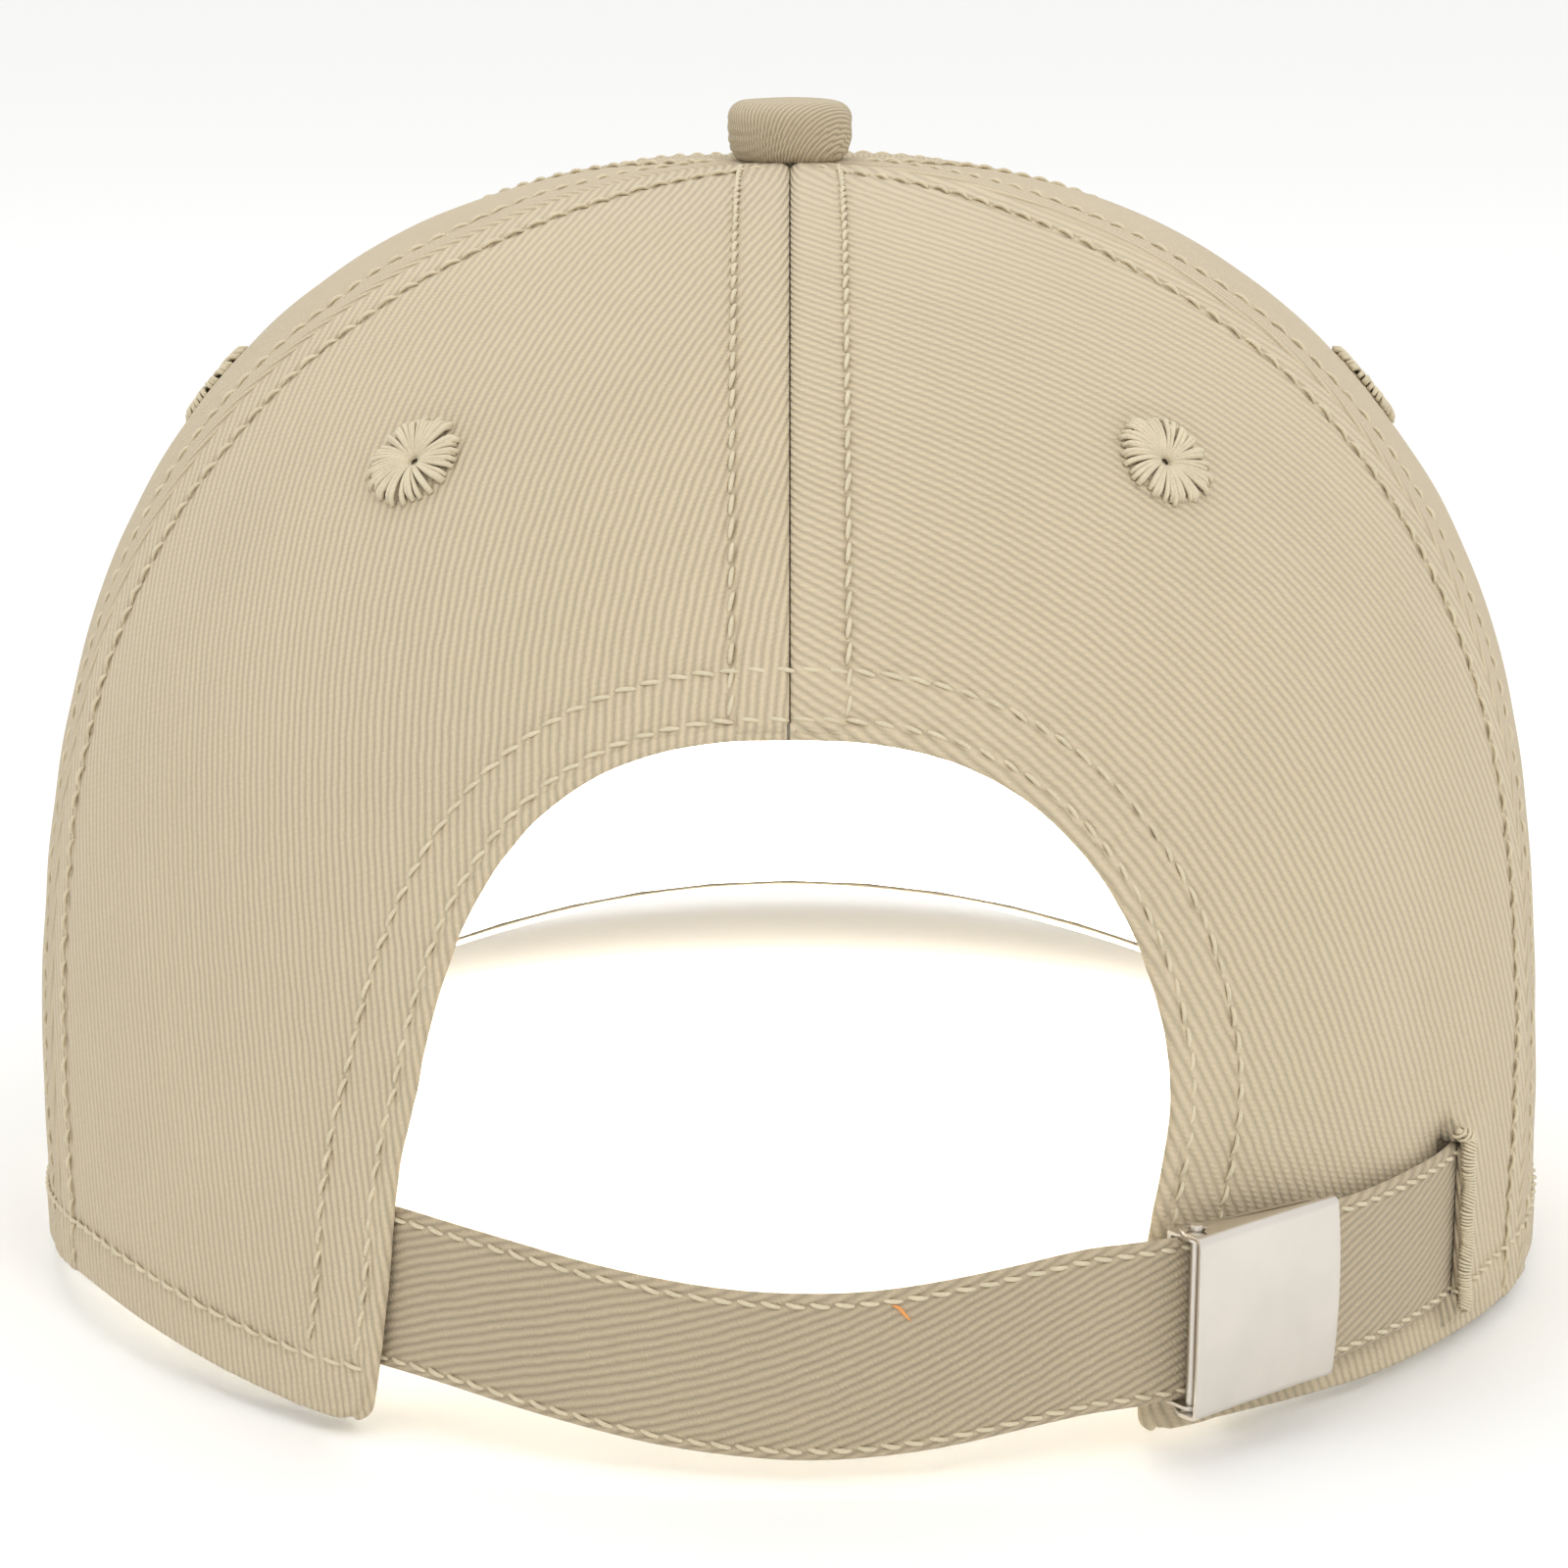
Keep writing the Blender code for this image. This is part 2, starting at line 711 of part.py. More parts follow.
def clasp_base(look):
    bottom = BASE_TOP - BASE_THICKNESS
    obj = prism("clasp_base", rectangle(CLASP_LEFT, CLASP_RIGHT, bottom, BASE_TOP),
                EAR_INNER + EAR_THICKNESS, clasp_matrix())
    head = [(PIN_U + 0.0012 * math.cos(t), PIN_W + 0.0012 * math.sin(t))
            for t in [math.radians(15 * i) for i in range(13)]]
    ear = [(PIN_U + 0.0024, bottom + 0.0001)] + head + [(CLASP_LEFT, bottom + 0.0001)]
    for side in (-1, 1):
        place = clasp_matrix(side * (EAR_INNER + EAR_THICKNESS / 2))
        join(obj, as_cutter(prism("ear", ear, EAR_THICKNESS / 2, place)))
    for side in (-1, 1):
        edges = sorted((side * BAR_HALF_WIDTH, side * WINDOW_OUTER))
        window = rectangle(edges[0], edges[1], bottom - 0.001, BASE_TOP + 0.001)
        cut(obj, as_cutter(prism("window", window, WINDOW_HALF_HEIGHT, clasp_matrix())))
    cut(obj, pin_hole_cutter("ear_hole", PIN_HALF_LENGTH))
    return finish_piece(obj, "clasp_base", look, smooth=False)


def clasp_pin(look):
    place = clasp_matrix() @ Matrix.Translation((PIN_U, PIN_W, 0))
    return finish_piece(rod("clasp_pin", PIN_RADIUS, PIN_HALF_LENGTH, place), "clasp_pin", look)


def cover_face(u):
    share = (u - COVER_LEFT) / (COVER_RIGHT - COVER_LEFT)
    return COVER_FACE_LEFT + (COVER_FACE_RIGHT - COVER_FACE_LEFT) * share


def clasp_cover(look):
    plate = [
        (COVER_LEFT, cover_face(COVER_LEFT) - COVER_PLATE),
        (COVER_RIGHT, cover_face(COVER_RIGHT) - COVER_PLATE),
        (COVER_RIGHT, cover_face(COVER_RIGHT)),
        (COVER_LEFT, cover_face(COVER_LEFT)),
    ]
    obj = prism("clasp_cover", plate, FLANGE_INNER + FLANGE_THICKNESS, clasp_matrix())
    inside = COVER_PLATE / 2
    flange = [
        (COVER_LEFT, cover_face(COVER_LEFT) - inside),
        (COVER_LEFT, FLANGE_BACK + 0.0007),
        (COVER_LEFT + 0.0007, FLANGE_BACK),
        (COVER_RIGHT - 0.0008, cover_face(COVER_RIGHT) - COVER_PLATE - 0.0002),
        (COVER_RIGHT, cover_face(COVER_RIGHT) - inside),
    ]
    for side in (-1, 1):
        place = clasp_matrix(side * (FLANGE_INNER + FLANGE_THICKNESS / 2))
        join(obj, as_cutter(prism("flange", flange, FLANGE_THICKNESS / 2, place)))
    cut(obj, pin_hole_cutter("cover_hole", PIN_HALF_LENGTH + 0.001))
    hinge = bpy.data.objects.new("clasp_hinge_axis", None)
    hinge.matrix_world = clasp_matrix() @ Matrix.Translation((PIN_U, PIN_W, 0))
    CAP.objects.link(hinge)
    bpy.context.view_layer.update()
    world = obj.matrix_world.copy()
    obj.parent = hinge
    obj.matrix_world = world
    return finish_piece(obj, "clasp_cover", look, smooth=False)


def clasp_loop_tab(look):
    """A cloth loop round the bar of the base, with a tail that is sewn to the panel."""
    inner_u = BAR_HALF_WIDTH + TAB_GAP
    outer_u = inner_u + TAB_THICKNESS
    inner_top = BASE_TOP + TAB_GAP
    inner_low = BASE_TOP - BASE_THICKNESS - TAB_GAP
    loop = prism("clasp_loop_tab",
                 rectangle(-outer_u, outer_u, inner_low - TAB_THICKNESS, inner_top + TAB_THICKNESS),
                 TAB_HALF_HEIGHT, clasp_matrix())
    tail = rectangle(outer_u - 0.0002, TAB_TAIL, inner_low - TAB_THICKNESS, inner_low - 0.00002)
    join(loop, as_cutter(prism("tab_tail", tail, TAB_HALF_HEIGHT, clasp_matrix())))
    eye = rectangle(-inner_u, inner_u, inner_low, inner_top)
    cut(loop, as_cutter(prism("tab_eye", eye, TAB_HALF_HEIGHT + 0.001, clasp_matrix())))
    return finish_piece(loop, "clasp_loop_tab", look, smooth=False)


# ---------------------------------------------------------------- assembly

def crown(fabric, thread, lining, stiffener):
    seams = list(SEAMS)
    panels = {}
    for name, first, last in zip(PANELS, seams, seams[1:]):
        panels[name] = panel(name + "_panel", first, last, fabric)
    opening = arch_cutter()
    cut(panels["back_left"], opening)
    cut(panels["back_right"], opening)
    cut(panels["back_right"], slot_cutter())
    for row, degrees in EYELET_ANGLES.items():
        for side, sign in (("left", 1), ("right", -1)):
            angle = sign * math.radians(degrees)
            eyelet(f"eyelet_{row}_{side}", angle, thread)
            cut(panels[f"{row}_{side}"], eyelet_cutter(f"eyelet_hole_{row}_{side}", angle))
    for seam in seams[:-1]:
        above_arch = ARCH_TOP + FACING_CLEARANCE + FACING_WIDTH + 0.001
        seam_tape("seam_tape_" + seam, seam, lining, above_arch if seam == "back" else 0.002)
    buckram("buckram_left", "front_left", "front", stiffener)
    buckram("buckram_right", "front", "front_right", stiffener)
    arch_facing(fabric)
    sweatband(lining)


clear_scene()
CAP = new_collection("baseball_cap")
CUTTERS = new_collection("cutters")
TWILL = material("khaki_twill", KHAKI, 0.9)
STITCH = material("khaki_thread", THREAD, 0.7)
COTTON = material("white_cotton", WHITE_COTTON, 0.9)
STIFFENER = material("white_buckram", BUCKRAM_WHITE, 0.85)
PLASTIC = material("white_board", BOARD_WHITE, 0.5)
SATIN_NICKEL = material("satin_nickel", NICKEL, 0.35, 1.0)
BUTTON_STEEL = material("button_steel", STEEL, 0.4, 1.0)

crown(TWILL, STITCH, COTTON, STIFFENER)
button(TWILL, BUTTON_STEEL)
visor(TWILL, PLASTIC)
strap(TWILL)
slot_stitching(STITCH)
clasp_base(SATIN_NICKEL)
clasp_pin(SATIN_NICKEL)
clasp_cover(SATIN_NICKEL)
clasp_loop_tab(TWILL)
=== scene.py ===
"""Looks of a six-panel twill baseball cap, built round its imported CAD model.

Metres, in the CAD's frame: +Z up, +Y out of the back opening, +X to the wearer's left.
Cloth is laid on the same crown surface that the CAD uses, with its seams, folds and puckers in the mesh.
Every visible stitch, eyelet strand and slot bar is a piece of thread of its own.
"""

import json
import math
import random

import bmesh
import bpy
import numpy as np
from mathutils import Matrix, Vector
from mathutils.kdtree import KDTree

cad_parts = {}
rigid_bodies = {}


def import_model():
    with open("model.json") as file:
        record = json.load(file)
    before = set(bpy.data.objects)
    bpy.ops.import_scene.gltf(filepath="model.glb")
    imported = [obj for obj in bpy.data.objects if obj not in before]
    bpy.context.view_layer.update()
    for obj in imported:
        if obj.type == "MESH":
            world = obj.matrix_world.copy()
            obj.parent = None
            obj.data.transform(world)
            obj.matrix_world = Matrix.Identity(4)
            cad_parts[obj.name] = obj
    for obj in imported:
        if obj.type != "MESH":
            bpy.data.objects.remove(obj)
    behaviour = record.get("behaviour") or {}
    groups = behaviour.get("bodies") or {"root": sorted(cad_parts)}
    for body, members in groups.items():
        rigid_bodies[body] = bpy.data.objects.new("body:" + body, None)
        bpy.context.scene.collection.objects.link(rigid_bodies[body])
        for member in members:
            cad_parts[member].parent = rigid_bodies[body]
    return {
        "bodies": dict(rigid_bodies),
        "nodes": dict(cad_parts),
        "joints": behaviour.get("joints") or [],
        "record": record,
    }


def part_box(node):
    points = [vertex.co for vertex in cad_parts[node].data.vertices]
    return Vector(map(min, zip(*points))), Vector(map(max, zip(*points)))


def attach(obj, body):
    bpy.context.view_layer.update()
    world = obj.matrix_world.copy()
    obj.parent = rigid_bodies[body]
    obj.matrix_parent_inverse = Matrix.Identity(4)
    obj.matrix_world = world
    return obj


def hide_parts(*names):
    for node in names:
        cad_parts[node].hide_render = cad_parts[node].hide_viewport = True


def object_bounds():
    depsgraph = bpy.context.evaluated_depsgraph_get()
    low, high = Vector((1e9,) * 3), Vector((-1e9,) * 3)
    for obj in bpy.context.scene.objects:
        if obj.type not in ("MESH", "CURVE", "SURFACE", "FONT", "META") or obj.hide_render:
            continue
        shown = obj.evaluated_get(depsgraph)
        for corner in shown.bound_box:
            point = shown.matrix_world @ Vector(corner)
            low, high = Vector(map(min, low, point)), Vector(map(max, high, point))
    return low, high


MM = 0.001

# The crown's surface, as in the CAD.
HALF_WIDTH = 89.0 * MM
BACK_LENGTH = 96.5 * MM
FRONT_LENGTH = 103.0 * MM
CROWN_HEIGHT = 126.2 * MM
CROWN_ROUNDNESS = 2.585
CROWN_BULGE = 0.035
SPREAD = 1.29
MERIDIAN = 150.0 * MM
HOLE_RADIUS = 3.4 * MM

# Rim and visor line.
RIM_BOW_LEFT = 3.5 * MM
RIM_CORNER_RISE = 2.5 * MM
RIM_FRONT_RISE = 15.5 * MM
VISOR_HALF_ANGLE = math.radians(68)

# Arched back opening.
ARCH_TOP = 74.4 * MM
ARCH_BASE = 20.0 * MM
ARCH_WIDTH = 40.4 * MM
ARCH_POWER = 2.47
ARCH_LEAN = 0.8 * MM
ARCH_FLARE = 2.9 * MM
ARCH_RELIEF = 0.8 * MM
ARCH_TUCK = 3.6 * MM
CORNER_RADIUS = 2.2 * MM

# Sewing: where the rows run and how thick the folds are.
PANEL_THICKNESS = 0.9 * MM
SEAM_GAP = 0.06 * MM
SEAM_ROW = 6.0 * MM
HEM_ROW = 6.2 * MM
ARCH_ROWS = (1.9 * MM, 6.6 * MM)
ARCH_FOLD = 0.6 * MM
STITCH = 2.75 * MM
HEM_STITCH = STITCH * 1.1
THREAD_RADIUS = 0.25 * MM
STITCH_SLANT = 0.24 * MM
ROW_SINK = 0.42 * MM
SEAM_RISE = 0.34 * MM
HEM_RISE = 0.26 * MM
ARCH_RISE = 0.36 * MM
LINING_DEPTH = 1.45 * MM
CLASP_TUCK = 1.1 * MM
LEG_LIFT = 0.6 * MM

# Eyelets, as in the CAD.
EYELET_ANGLES = {"back": 35.6, "side": 95.0, "front": 150.0}
EYELET_RISE = 0.517
EYELET_RADIUS = 5.5 * MM
EYELET_HOLE = 1.2 * MM

# Visor, as in the CAD.
VISOR_REACH = 70.0 * MM
VISOR_REACH_POWER = 0.45
VISOR_SLOPE = 0.12
VISOR_FLARE = 0.05
VISOR_CLEARANCE = 0.5 * MM
VISOR_HALF_THICKNESS = 2.1 * MM
VISOR_ROWS = [3.0 * MM + k * 7.2 * MM for k in range(8)]

# Strap ring, as in the CAD.
STRAP_RADIUS = 75.3 * MM
STRAP_CENTRE = (-4.6 * MM, 23.9 * MM)
STRAP_PLANE_HEIGHT = 16.8 * MM
STRAP_SLOPES = (-0.0134, 0.0300)
STRAP_START = math.radians(-46)
STRAP_END = math.radians(72)
STRAP_WIDTH = 17.9 * MM
STRAP_THICKNESS = 1.2 * MM
STRAP_ROW_INSET = 1.15 * MM
STRAP_RIB_LEAN = 0.38
STRAP_SAG = 3.7 * MM
STRAP_SPAN_LEFT = 42.0 * MM
STRAP_SPAN_RIGHT = 32.0 * MM

# Slot for the strap's tail: its outer lip is laid over the strap, its inner lip under it.
SLOT_ANGLE = math.radians(-54.3)
SLOT_HALF_WIDTH = 0.3 * MM
SLOT_LOW = 4.8 * MM
SLOT_HIGH = 23.2 * MM
SLOT_CLEARANCE = 0.50 * MM

# Clasp, in its own axes: u along the strap, w outwards, n down the pin.
CLASP_ANGLE = math.radians(35.8)
PIN_U = -9.2 * MM
PIN_W = 1.05 * MM
COVER_LEFT = -10.9 * MM
COVER_RIGHT = 10.6 * MM
COVER_BULGE = 0.75 * MM
COVER_FACE_LEFT = 3.9 * MM
COVER_FACE_RIGHT = 0.75 * MM
COVER_HALF_HEIGHT = 9.95 * MM
COVER_SHEET = 0.42 * MM
COVER_ROLL = 0.95 * MM
FLANGE_BACK = -0.8 * MM

CAMERA_DISTANCE = 0.600
CAMERA_ELEVATION = math.radians(11.4)
CAMERA_TARGET = (0.0, 0.0, 0.0519)
CAMERA_LENS = 115.0
CAMERA_SHIFT = -0.00375

KHAKI = (0.575, 0.484, 0.335)
# Painted shade: the strap's khaki is a darker copy of the crown's, because the strap lies in shade.
STRAP_KHAKI_PAINTED_SHADE = (0.468, 0.388, 0.267)
THREAD = (0.640, 0.560, 0.395)
COTTON = (0.86, 0.84, 0.79)
NICKEL = (0.71, 0.665, 0.605)

# Lamps: name, place, target, size, watts, colour. The last three make the inside read near white.
MIDDLE = (0, 0, 0.06)
WHITE = (1.0, 1.0, 1.0)
LAMPS = (
    ("key", (-0.45, 1.15, 1.05), MIDDLE, 0.5, 4.7, (1.0, 0.985, 0.96)),
    ("fill", (0.95, 1.0, 0.45), MIDDLE, 1.0, 0.5, WHITE),
    ("top", (0.2, -0.4, 1.25), MIDDLE, 0.8, 3.0, WHITE),
    ("inside_front", (0, 0.045, 0.070), (0, -0.10, 0.035), 0.05, 0.045, WHITE),
    ("inside_floor", (0, -0.02, 0.100), (0, -0.03, 0.0), 0.06, 0.040, WHITE),
    ("under_visor", (0, -0.045, 0.032), (0, -0.16, 0.0), 0.04, 0.30, WHITE),
)

PANEL_SEAMS = {
    "back_left": ("back", "back_left"),
    "side_left": ("back_left", "front_left"),
    "front_left": ("front_left", "front"),
    "front_right": ("front", "front_right"),
    "side_right": ("front_right", "back_right"),
    "back_right": ("back_right", "back_again"),
}


# ---------------------------------------------------------------- crown surface

def smooth_step(value, start, end):
    t = np.clip((value - start) / (end - start), 0, 1)
    return t * t * (3 - 2 * t)


def meridian_angle(rise):
    rise = np.clip(rise, 0, 1)
    low = rise ** SPREAD
    high = (1 - rise) ** SPREAD
    return np.pi / 2 * low / (low + high)


def rise_at_height(height):
    share = np.arcsin(np.clip(height / CROWN_HEIGHT, 0, 1) ** (CROWN_ROUNDNESS / 2)) / (np.pi / 2)
    ratio = (share / np.maximum(1 - share, 1e-9)) ** (1 / SPREAD)
    return ratio / (1 + ratio)


def spread_at(rise):
    angle = meridian_angle(rise)
    return np.cos(angle) ** (2 / CROWN_ROUNDNESS) * (1 + CROWN_BULGE * np.sin(2 * angle))


UPPER_RISES = np.linspace(0.5, 0.9999, 4000)
UPPER_SPREAD = spread_at(UPPER_RISES)


def rise_at_radius(radius):
    return float(np.interp(-radius, -HALF_WIDTH * UPPER_SPREAD, UPPER_RISES))


def rise_at_point(points, length):
    """From the height low on the crown, and from the distance to its axis near the top."""
    by_height = rise_at_height(points[..., 2])
    ratio = np.hypot(points[..., 0] / HALF_WIDTH, points[..., 1] / length)
    by_radius = np.interp(-ratio, -UPPER_SPREAD, UPPER_RISES)
    return by_height + (by_radius - by_height) * smooth_step(by_height, 0.60, 0.75)


def surface(angle, rise):
    reach = spread_at(rise)
    height = CROWN_HEIGHT * np.sin(meridian_angle(rise)) ** (2 / CROWN_ROUNDNESS)
    length = np.where(np.cos(angle) > 0, BACK_LENGTH, FRONT_LENGTH)
    points = (HALF_WIDTH * reach * np.sin(angle), length * reach * np.cos(angle), height)
    return np.stack(np.broadcast_arrays(*points), axis=-1)


def unit(vectors):
    return vectors / np.maximum(np.linalg.norm(vectors, axis=-1, keepdims=True), 1e-12)


def normal(angle, rise):
    step = 0.002
    along = surface(angle + step, rise) - surface(angle - step, rise)
    up = surface(angle, np.minimum(rise + step, 1 - step)) - surface(angle, np.maximum(rise - step, 0))
    return unit(np.cross(up, along))


def crown(angle, rise, out=0.0):
    """Points at height out above the crown surface."""
    out = np.asarray(out, float)[..., None]
    return surface(angle, rise) + out * normal(angle, rise)


def metric(angle, rise):
    """Metres along the crown for each radian of plan angle."""
    step = 0.002
    gap = surface(angle + step, rise) - surface(angle - step, rise)
    return np.linalg.norm(gap, axis=-1) / (2 * step)


def wrapped(angle):
    return np.arctan2(np.sin(angle), np.cos(angle))


def rim_height(angle):
    angle = wrapped(angle)
    from_front = np.pi - np.abs(angle)
    share = np.sin(np.minimum(from_front, VISOR_HALF_ANGLE)) / math.sin(VISOR_HALF_ANGLE)
    front = RIM_CORNER_RISE + RIM_FRONT_RISE * (1 - share ** 2)
    blend = 1 - smooth_step(from_front, VISOR_HALF_ANGLE, math.radians(88))
    turn = np.clip((np.degrees(angle) - 30) / 60, 0, 1)
    back = RIM_CORNER_RISE * blend + RIM_BOW_LEFT * np.sin(np.pi * turn) ** 2
    return np.where(from_front < VISOR_HALF_ANGLE, front, back)


def side_seam(rise):
    turn = 15.5 * (1 - smooth_step(rise, 0.30, 0.85))
    return np.radians(57.0 + turn - 3.0 * (1 - smooth_step(rise, 0.0, 0.4)))


def seam_angle(name, rise):
    rise = np.asarray(rise, float)
    angles = {
        "back": 0 * rise,
        "back_left": side_seam(rise),
        "front_left": 0 * rise + math.radians(120),
        "front": 0 * rise + math.pi,
        "front_right": 0 * rise + math.radians(240),
        "back_right": 2 * math.pi - side_seam(rise),
        "back_again": 0 * rise + 2 * math.pi,
    }
    return angles[name]


def ripple(points, wavelength, seed):
    """Smooth noise from -1 to 1, made of a few waves in fixed random directions."""
    source = random.Random(seed)
    total = np.zeros(points.shape[:-1])
    for _ in range(7):
        direction = Vector([source.gauss(0, 1) for _ in range(3)]).normalized()
        scale = 2 * np.pi / (wavelength * source.uniform(0.7, 1.4))
        total += np.sin(points @ np.array(direction) * scale + source.uniform(0, 6.28))
    return total / 4.0


# ---------------------------------------------------------------- arch

def arch_shift(side, height):
    """How far the left (+1) or right (-1) leg stands outside the arch's plain curve."""
    lean = ARCH_LEAN * np.sin(np.pi * np.clip((height - 24 * MM) / (50 * MM), 0, 1))
    flare = ARCH_FLARE * np.clip((30 * MM - height) / (30 * MM), 0, 1) ** 1.5
    flare += ARCH_RELIEF * smooth_step(38 * MM - height, 0, 10 * MM)
    tuck = ARCH_TUCK * smooth_step(40 * MM - height, 0, 28 * MM)
    depth = np.clip(CORNER_RADIUS - height, 0, CORNER_RADIUS)
    corner = CORNER_RADIUS - np.sqrt(CORNER_RADIUS ** 2 - depth ** 2)
    return np.where(np.asarray(side) > 0, flare - lean, lean - tuck) + corner


def arch_width_at(side, height):
    share = np.clip((height - ARCH_BASE) / (ARCH_TOP - ARCH_BASE), 0, 1)
    return ARCH_WIDTH * (1 - share ** ARCH_POWER) ** (1 / ARCH_POWER) + arch_shift(side, height)


def arch_outline(lowest=-3 * MM):
    """Points (x, z) down the left side, from the bottom over the top to the right, 0.1 mm apart."""
    turn = np.linspace(0, np.pi / 2, 900)
    width = ARCH_WIDTH * np.sin(turn) ** (2 / ARCH_POWER)
    height = ARCH_BASE + (ARCH_TOP - ARCH_BASE) * np.cos(turn) ** (2 / ARCH_POWER)
    leg = np.linspace(ARCH_BASE, lowest, 230)[1:]
    width = np.concatenate([width, np.full(len(leg), ARCH_WIDTH)])
    height = np.concatenate([height, leg])
    left = np.stack([width + arch_shift(1, height), height], axis=1)
    right = np.stack([-width - arch_shift(-1, height), height], axis=1)
    return np.concatenate([left[::-1], right[1:]])


def run_along(points):
    """The distance along a polyline at each of its points."""
    return np.concatenate([[0], np.cumsum(np.linalg.norm(np.diff(points, axis=0), axis=1))])


def even_steps(points, step):
    """The polyline's points again, about step apart."""
    lengths = run_along(points)
    count = max(2, int(round(lengths[-1] / step)) + 1)
    places = np.linspace(0, lengths[-1], count)
    return np.stack([np.interp(places, lengths, points[:, k]) for k in range(points.shape[1])], axis=1)


def away_from_arch(outline):
    """Unit vectors from the outline of (x, z) into the cloth."""
    along = np.gradient(outline, axis=0)
    return unit(np.stack([along[:, 1], -along[:, 0]], axis=1))


def arch_row(offset):
    """The arch's outline moved outwards by offset, and a little more down the legs."""
    outline = even_steps(arch_outline(), 0.4 * MM)
    widen = 1 + 0.12 * smooth_step(ARCH_TOP - outline[:, 1], 5 * MM, 45 * MM)
    return outline + away_from_arch(outline) * (offset * widen)[:, None]


def behind(xz):
    """Plan angle and rise on the back of the crown for points (x, z)."""
    rise = rise_at_height(xz[..., 1])
    angle = np.arcsin(np.clip(xz[..., 0] / (HALF_WIDTH * spread_at(rise)), -1, 1))
    return angle, rise


ARCH_POINTS = even_steps(arch_outline(), 0.1 * MM)
ARCH_OUT = away_from_arch(ARCH_POINTS)
ARCH_TREE = KDTree(len(ARCH_POINTS))
for index, (place_x, place_z) in enumerate(ARCH_POINTS):
    ARCH_TREE.insert((place_x, 0, place_z), index)
ARCH_TREE.balance()


def arch_distance(points):
    """Signed distance from points (x, y, z) to the arch, seen from behind: negative inside it."""
    near = np.array([ARCH_TREE.find((p[0], 0, p[2]))[2] for p in points])
    inside = np.abs(points[:, 0]) < arch_width_at(np.sign(points[:, 0]), points[:, 2])
    inside &= points[:, 2] < ARCH_TOP
    return np.where(inside, -near, near)


# ---------------------------------------------------------------- mesh helpers

def new_object(name, verts, faces, look, body="cap", weave=None):
    mesh = bpy.data.meshes.new(name)
    mesh.from_pydata([tuple(v) for v in verts], [], faces)
    mesh.validate()
    mesh.shade_smooth()
    mesh.materials.append(look)
    obj = bpy.data.objects.new(name, mesh)
    if weave is not None:
        write_weave(obj, weave)
    bpy.context.scene.collection.objects.link(obj)
    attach(obj, body)
    return obj


def grid_faces(rows, columns, wrap=False):
    faces = []
    last = columns if wrap else columns - 1
    for j in range(rows - 1):
        for i in range(last):
            a = j * columns + i
            b = j * columns + (i + 1) % columns
            faces.append((a, b, b + columns, a + columns))
    return faces


def solidify(obj, thickness):
    change = obj.modifiers.new("cloth", "SOLIDIFY")
    change.thickness = thickness
    change.offset = -1.0
    change.use_even_offset = False


def bevel(obj, width):
    change = obj.modifiers.new("edges", "BEVEL")
    change.width = width
    change.segments = 2
    change.limit_method = "ANGLE"
    change.angle_limit = math.radians(35)
    change.harden_normals = False


def cut(obj, cutter):
    change = obj.modifiers.new("cut", "BOOLEAN")
    change.operation = "DIFFERENCE"
    change.solver = "EXACT"
    change.object = cutter


def apply_modifiers(obj):
    bpy.context.view_layer.update()
    evaluated = obj.evaluated_get(bpy.context.evaluated_depsgraph_get())
    mesh = bpy.data.meshes.new_from_object(evaluated)
    obj.modifiers.clear()
    obj.data = mesh


def write_weave(obj, values):
    known = obj.data.attributes
    weave = known.get("weave") or known.new("weave", "FLOAT_VECTOR", "POINT")
    weave.data.foreach_set("vector", np.asarray(values, np.float32).ravel())


def vertex_places(obj):
    places = np.empty(3 * len(obj.data.vertices), np.float32)
    obj.data.vertices.foreach_get("co", places)
    return places.reshape(-1, 3).astype(float)


def remove(objects):
    for obj in objects:
        bpy.data.objects.remove(obj, do_unlink=True)


# ---------------------------------------------------------------- thread

def strand(path, normals, radii, sides=6):
    """Vertices and faces of a round strand with closed ends along a path."""
    path = np.asarray(path, float)
    along = unit(np.gradient(path, axis=0))
    across = unit(np.cross(along, normals))
    up = np.cross(across, along)
    turn = np.linspace(0, 2 * np.pi, sides, endpoint=False)
    ring = np.cos(turn)[None, :, None] * across[:, None] + np.sin(turn)[None, :, None] * up[:, None]
    body = path[:, None] + ring * np.asarray(radii, float)[:, None, None]
    verts = np.concatenate([body.reshape(-1, 3), path[:1], path[-1:]])
    faces = grid_faces(len(path), sides, wrap=True)
    start = len(path) * sides
    for i in range(sides):
        following = (i + 1) % sides
        faces.append((start, following, i))
        top = (len(path) - 1) * sides
        faces.append((start + 1, top + i, top + following))
    return verts, faces


def join_strands(name, strands, look, body="cap"):
    """One piece of thread from many strands."""
    verts = []
    faces = []
    total = 0
    for points, quads in strands:
        verts.append(points)
        faces += [tuple(k + total for k in face) for face in quads]
        total += len(points)
    obj = new_object(name, np.concatenate(verts), faces, look, body)
    return obj


def stitches(path, normals, source, length=STITCH):
    """Stitches along a path that lies on the cloth: each dives in at both of its ends."""
    path = np.asarray(path, float)
    steps = run_along(path)
    made = []
    shape = np.array([-0.9, 0.2, 0.75, 0.95, 0.75, 0.2, -0.9])
    sizes = np.array([0.55, 0.9, 1.0, 1.05, 1.0, 0.9, 0.55]) * THREAD_RADIUS
    for k in range(int(steps[-1] / length)):
        begin = (k + 0.04 + source.uniform(-0.03, 0.03)) * length
        end = (k + 0.93 + source.uniform(-0.04, 0.04)) * length
        places = np.linspace(begin, end, len(shape))
        centre = np.stack([np.interp(places, steps, path[:, a]) for a in range(3)], axis=1)
        up = unit(np.stack([np.interp(places, steps, normals[:, a]) for a in range(3)], axis=1))
        side = unit(np.cross(unit(np.gradient(centre, axis=0)), up))
        lean = STITCH_SLANT * np.linspace(-1, 1, len(shape)) * source.uniform(0.6, 1.2)
        centre = centre + up * (shape * THREAD_RADIUS)[:, None] + side * lean[:, None]
        made.append(strand(centre, up, sizes))
    return made


# ---------------------------------------------------------------- materials

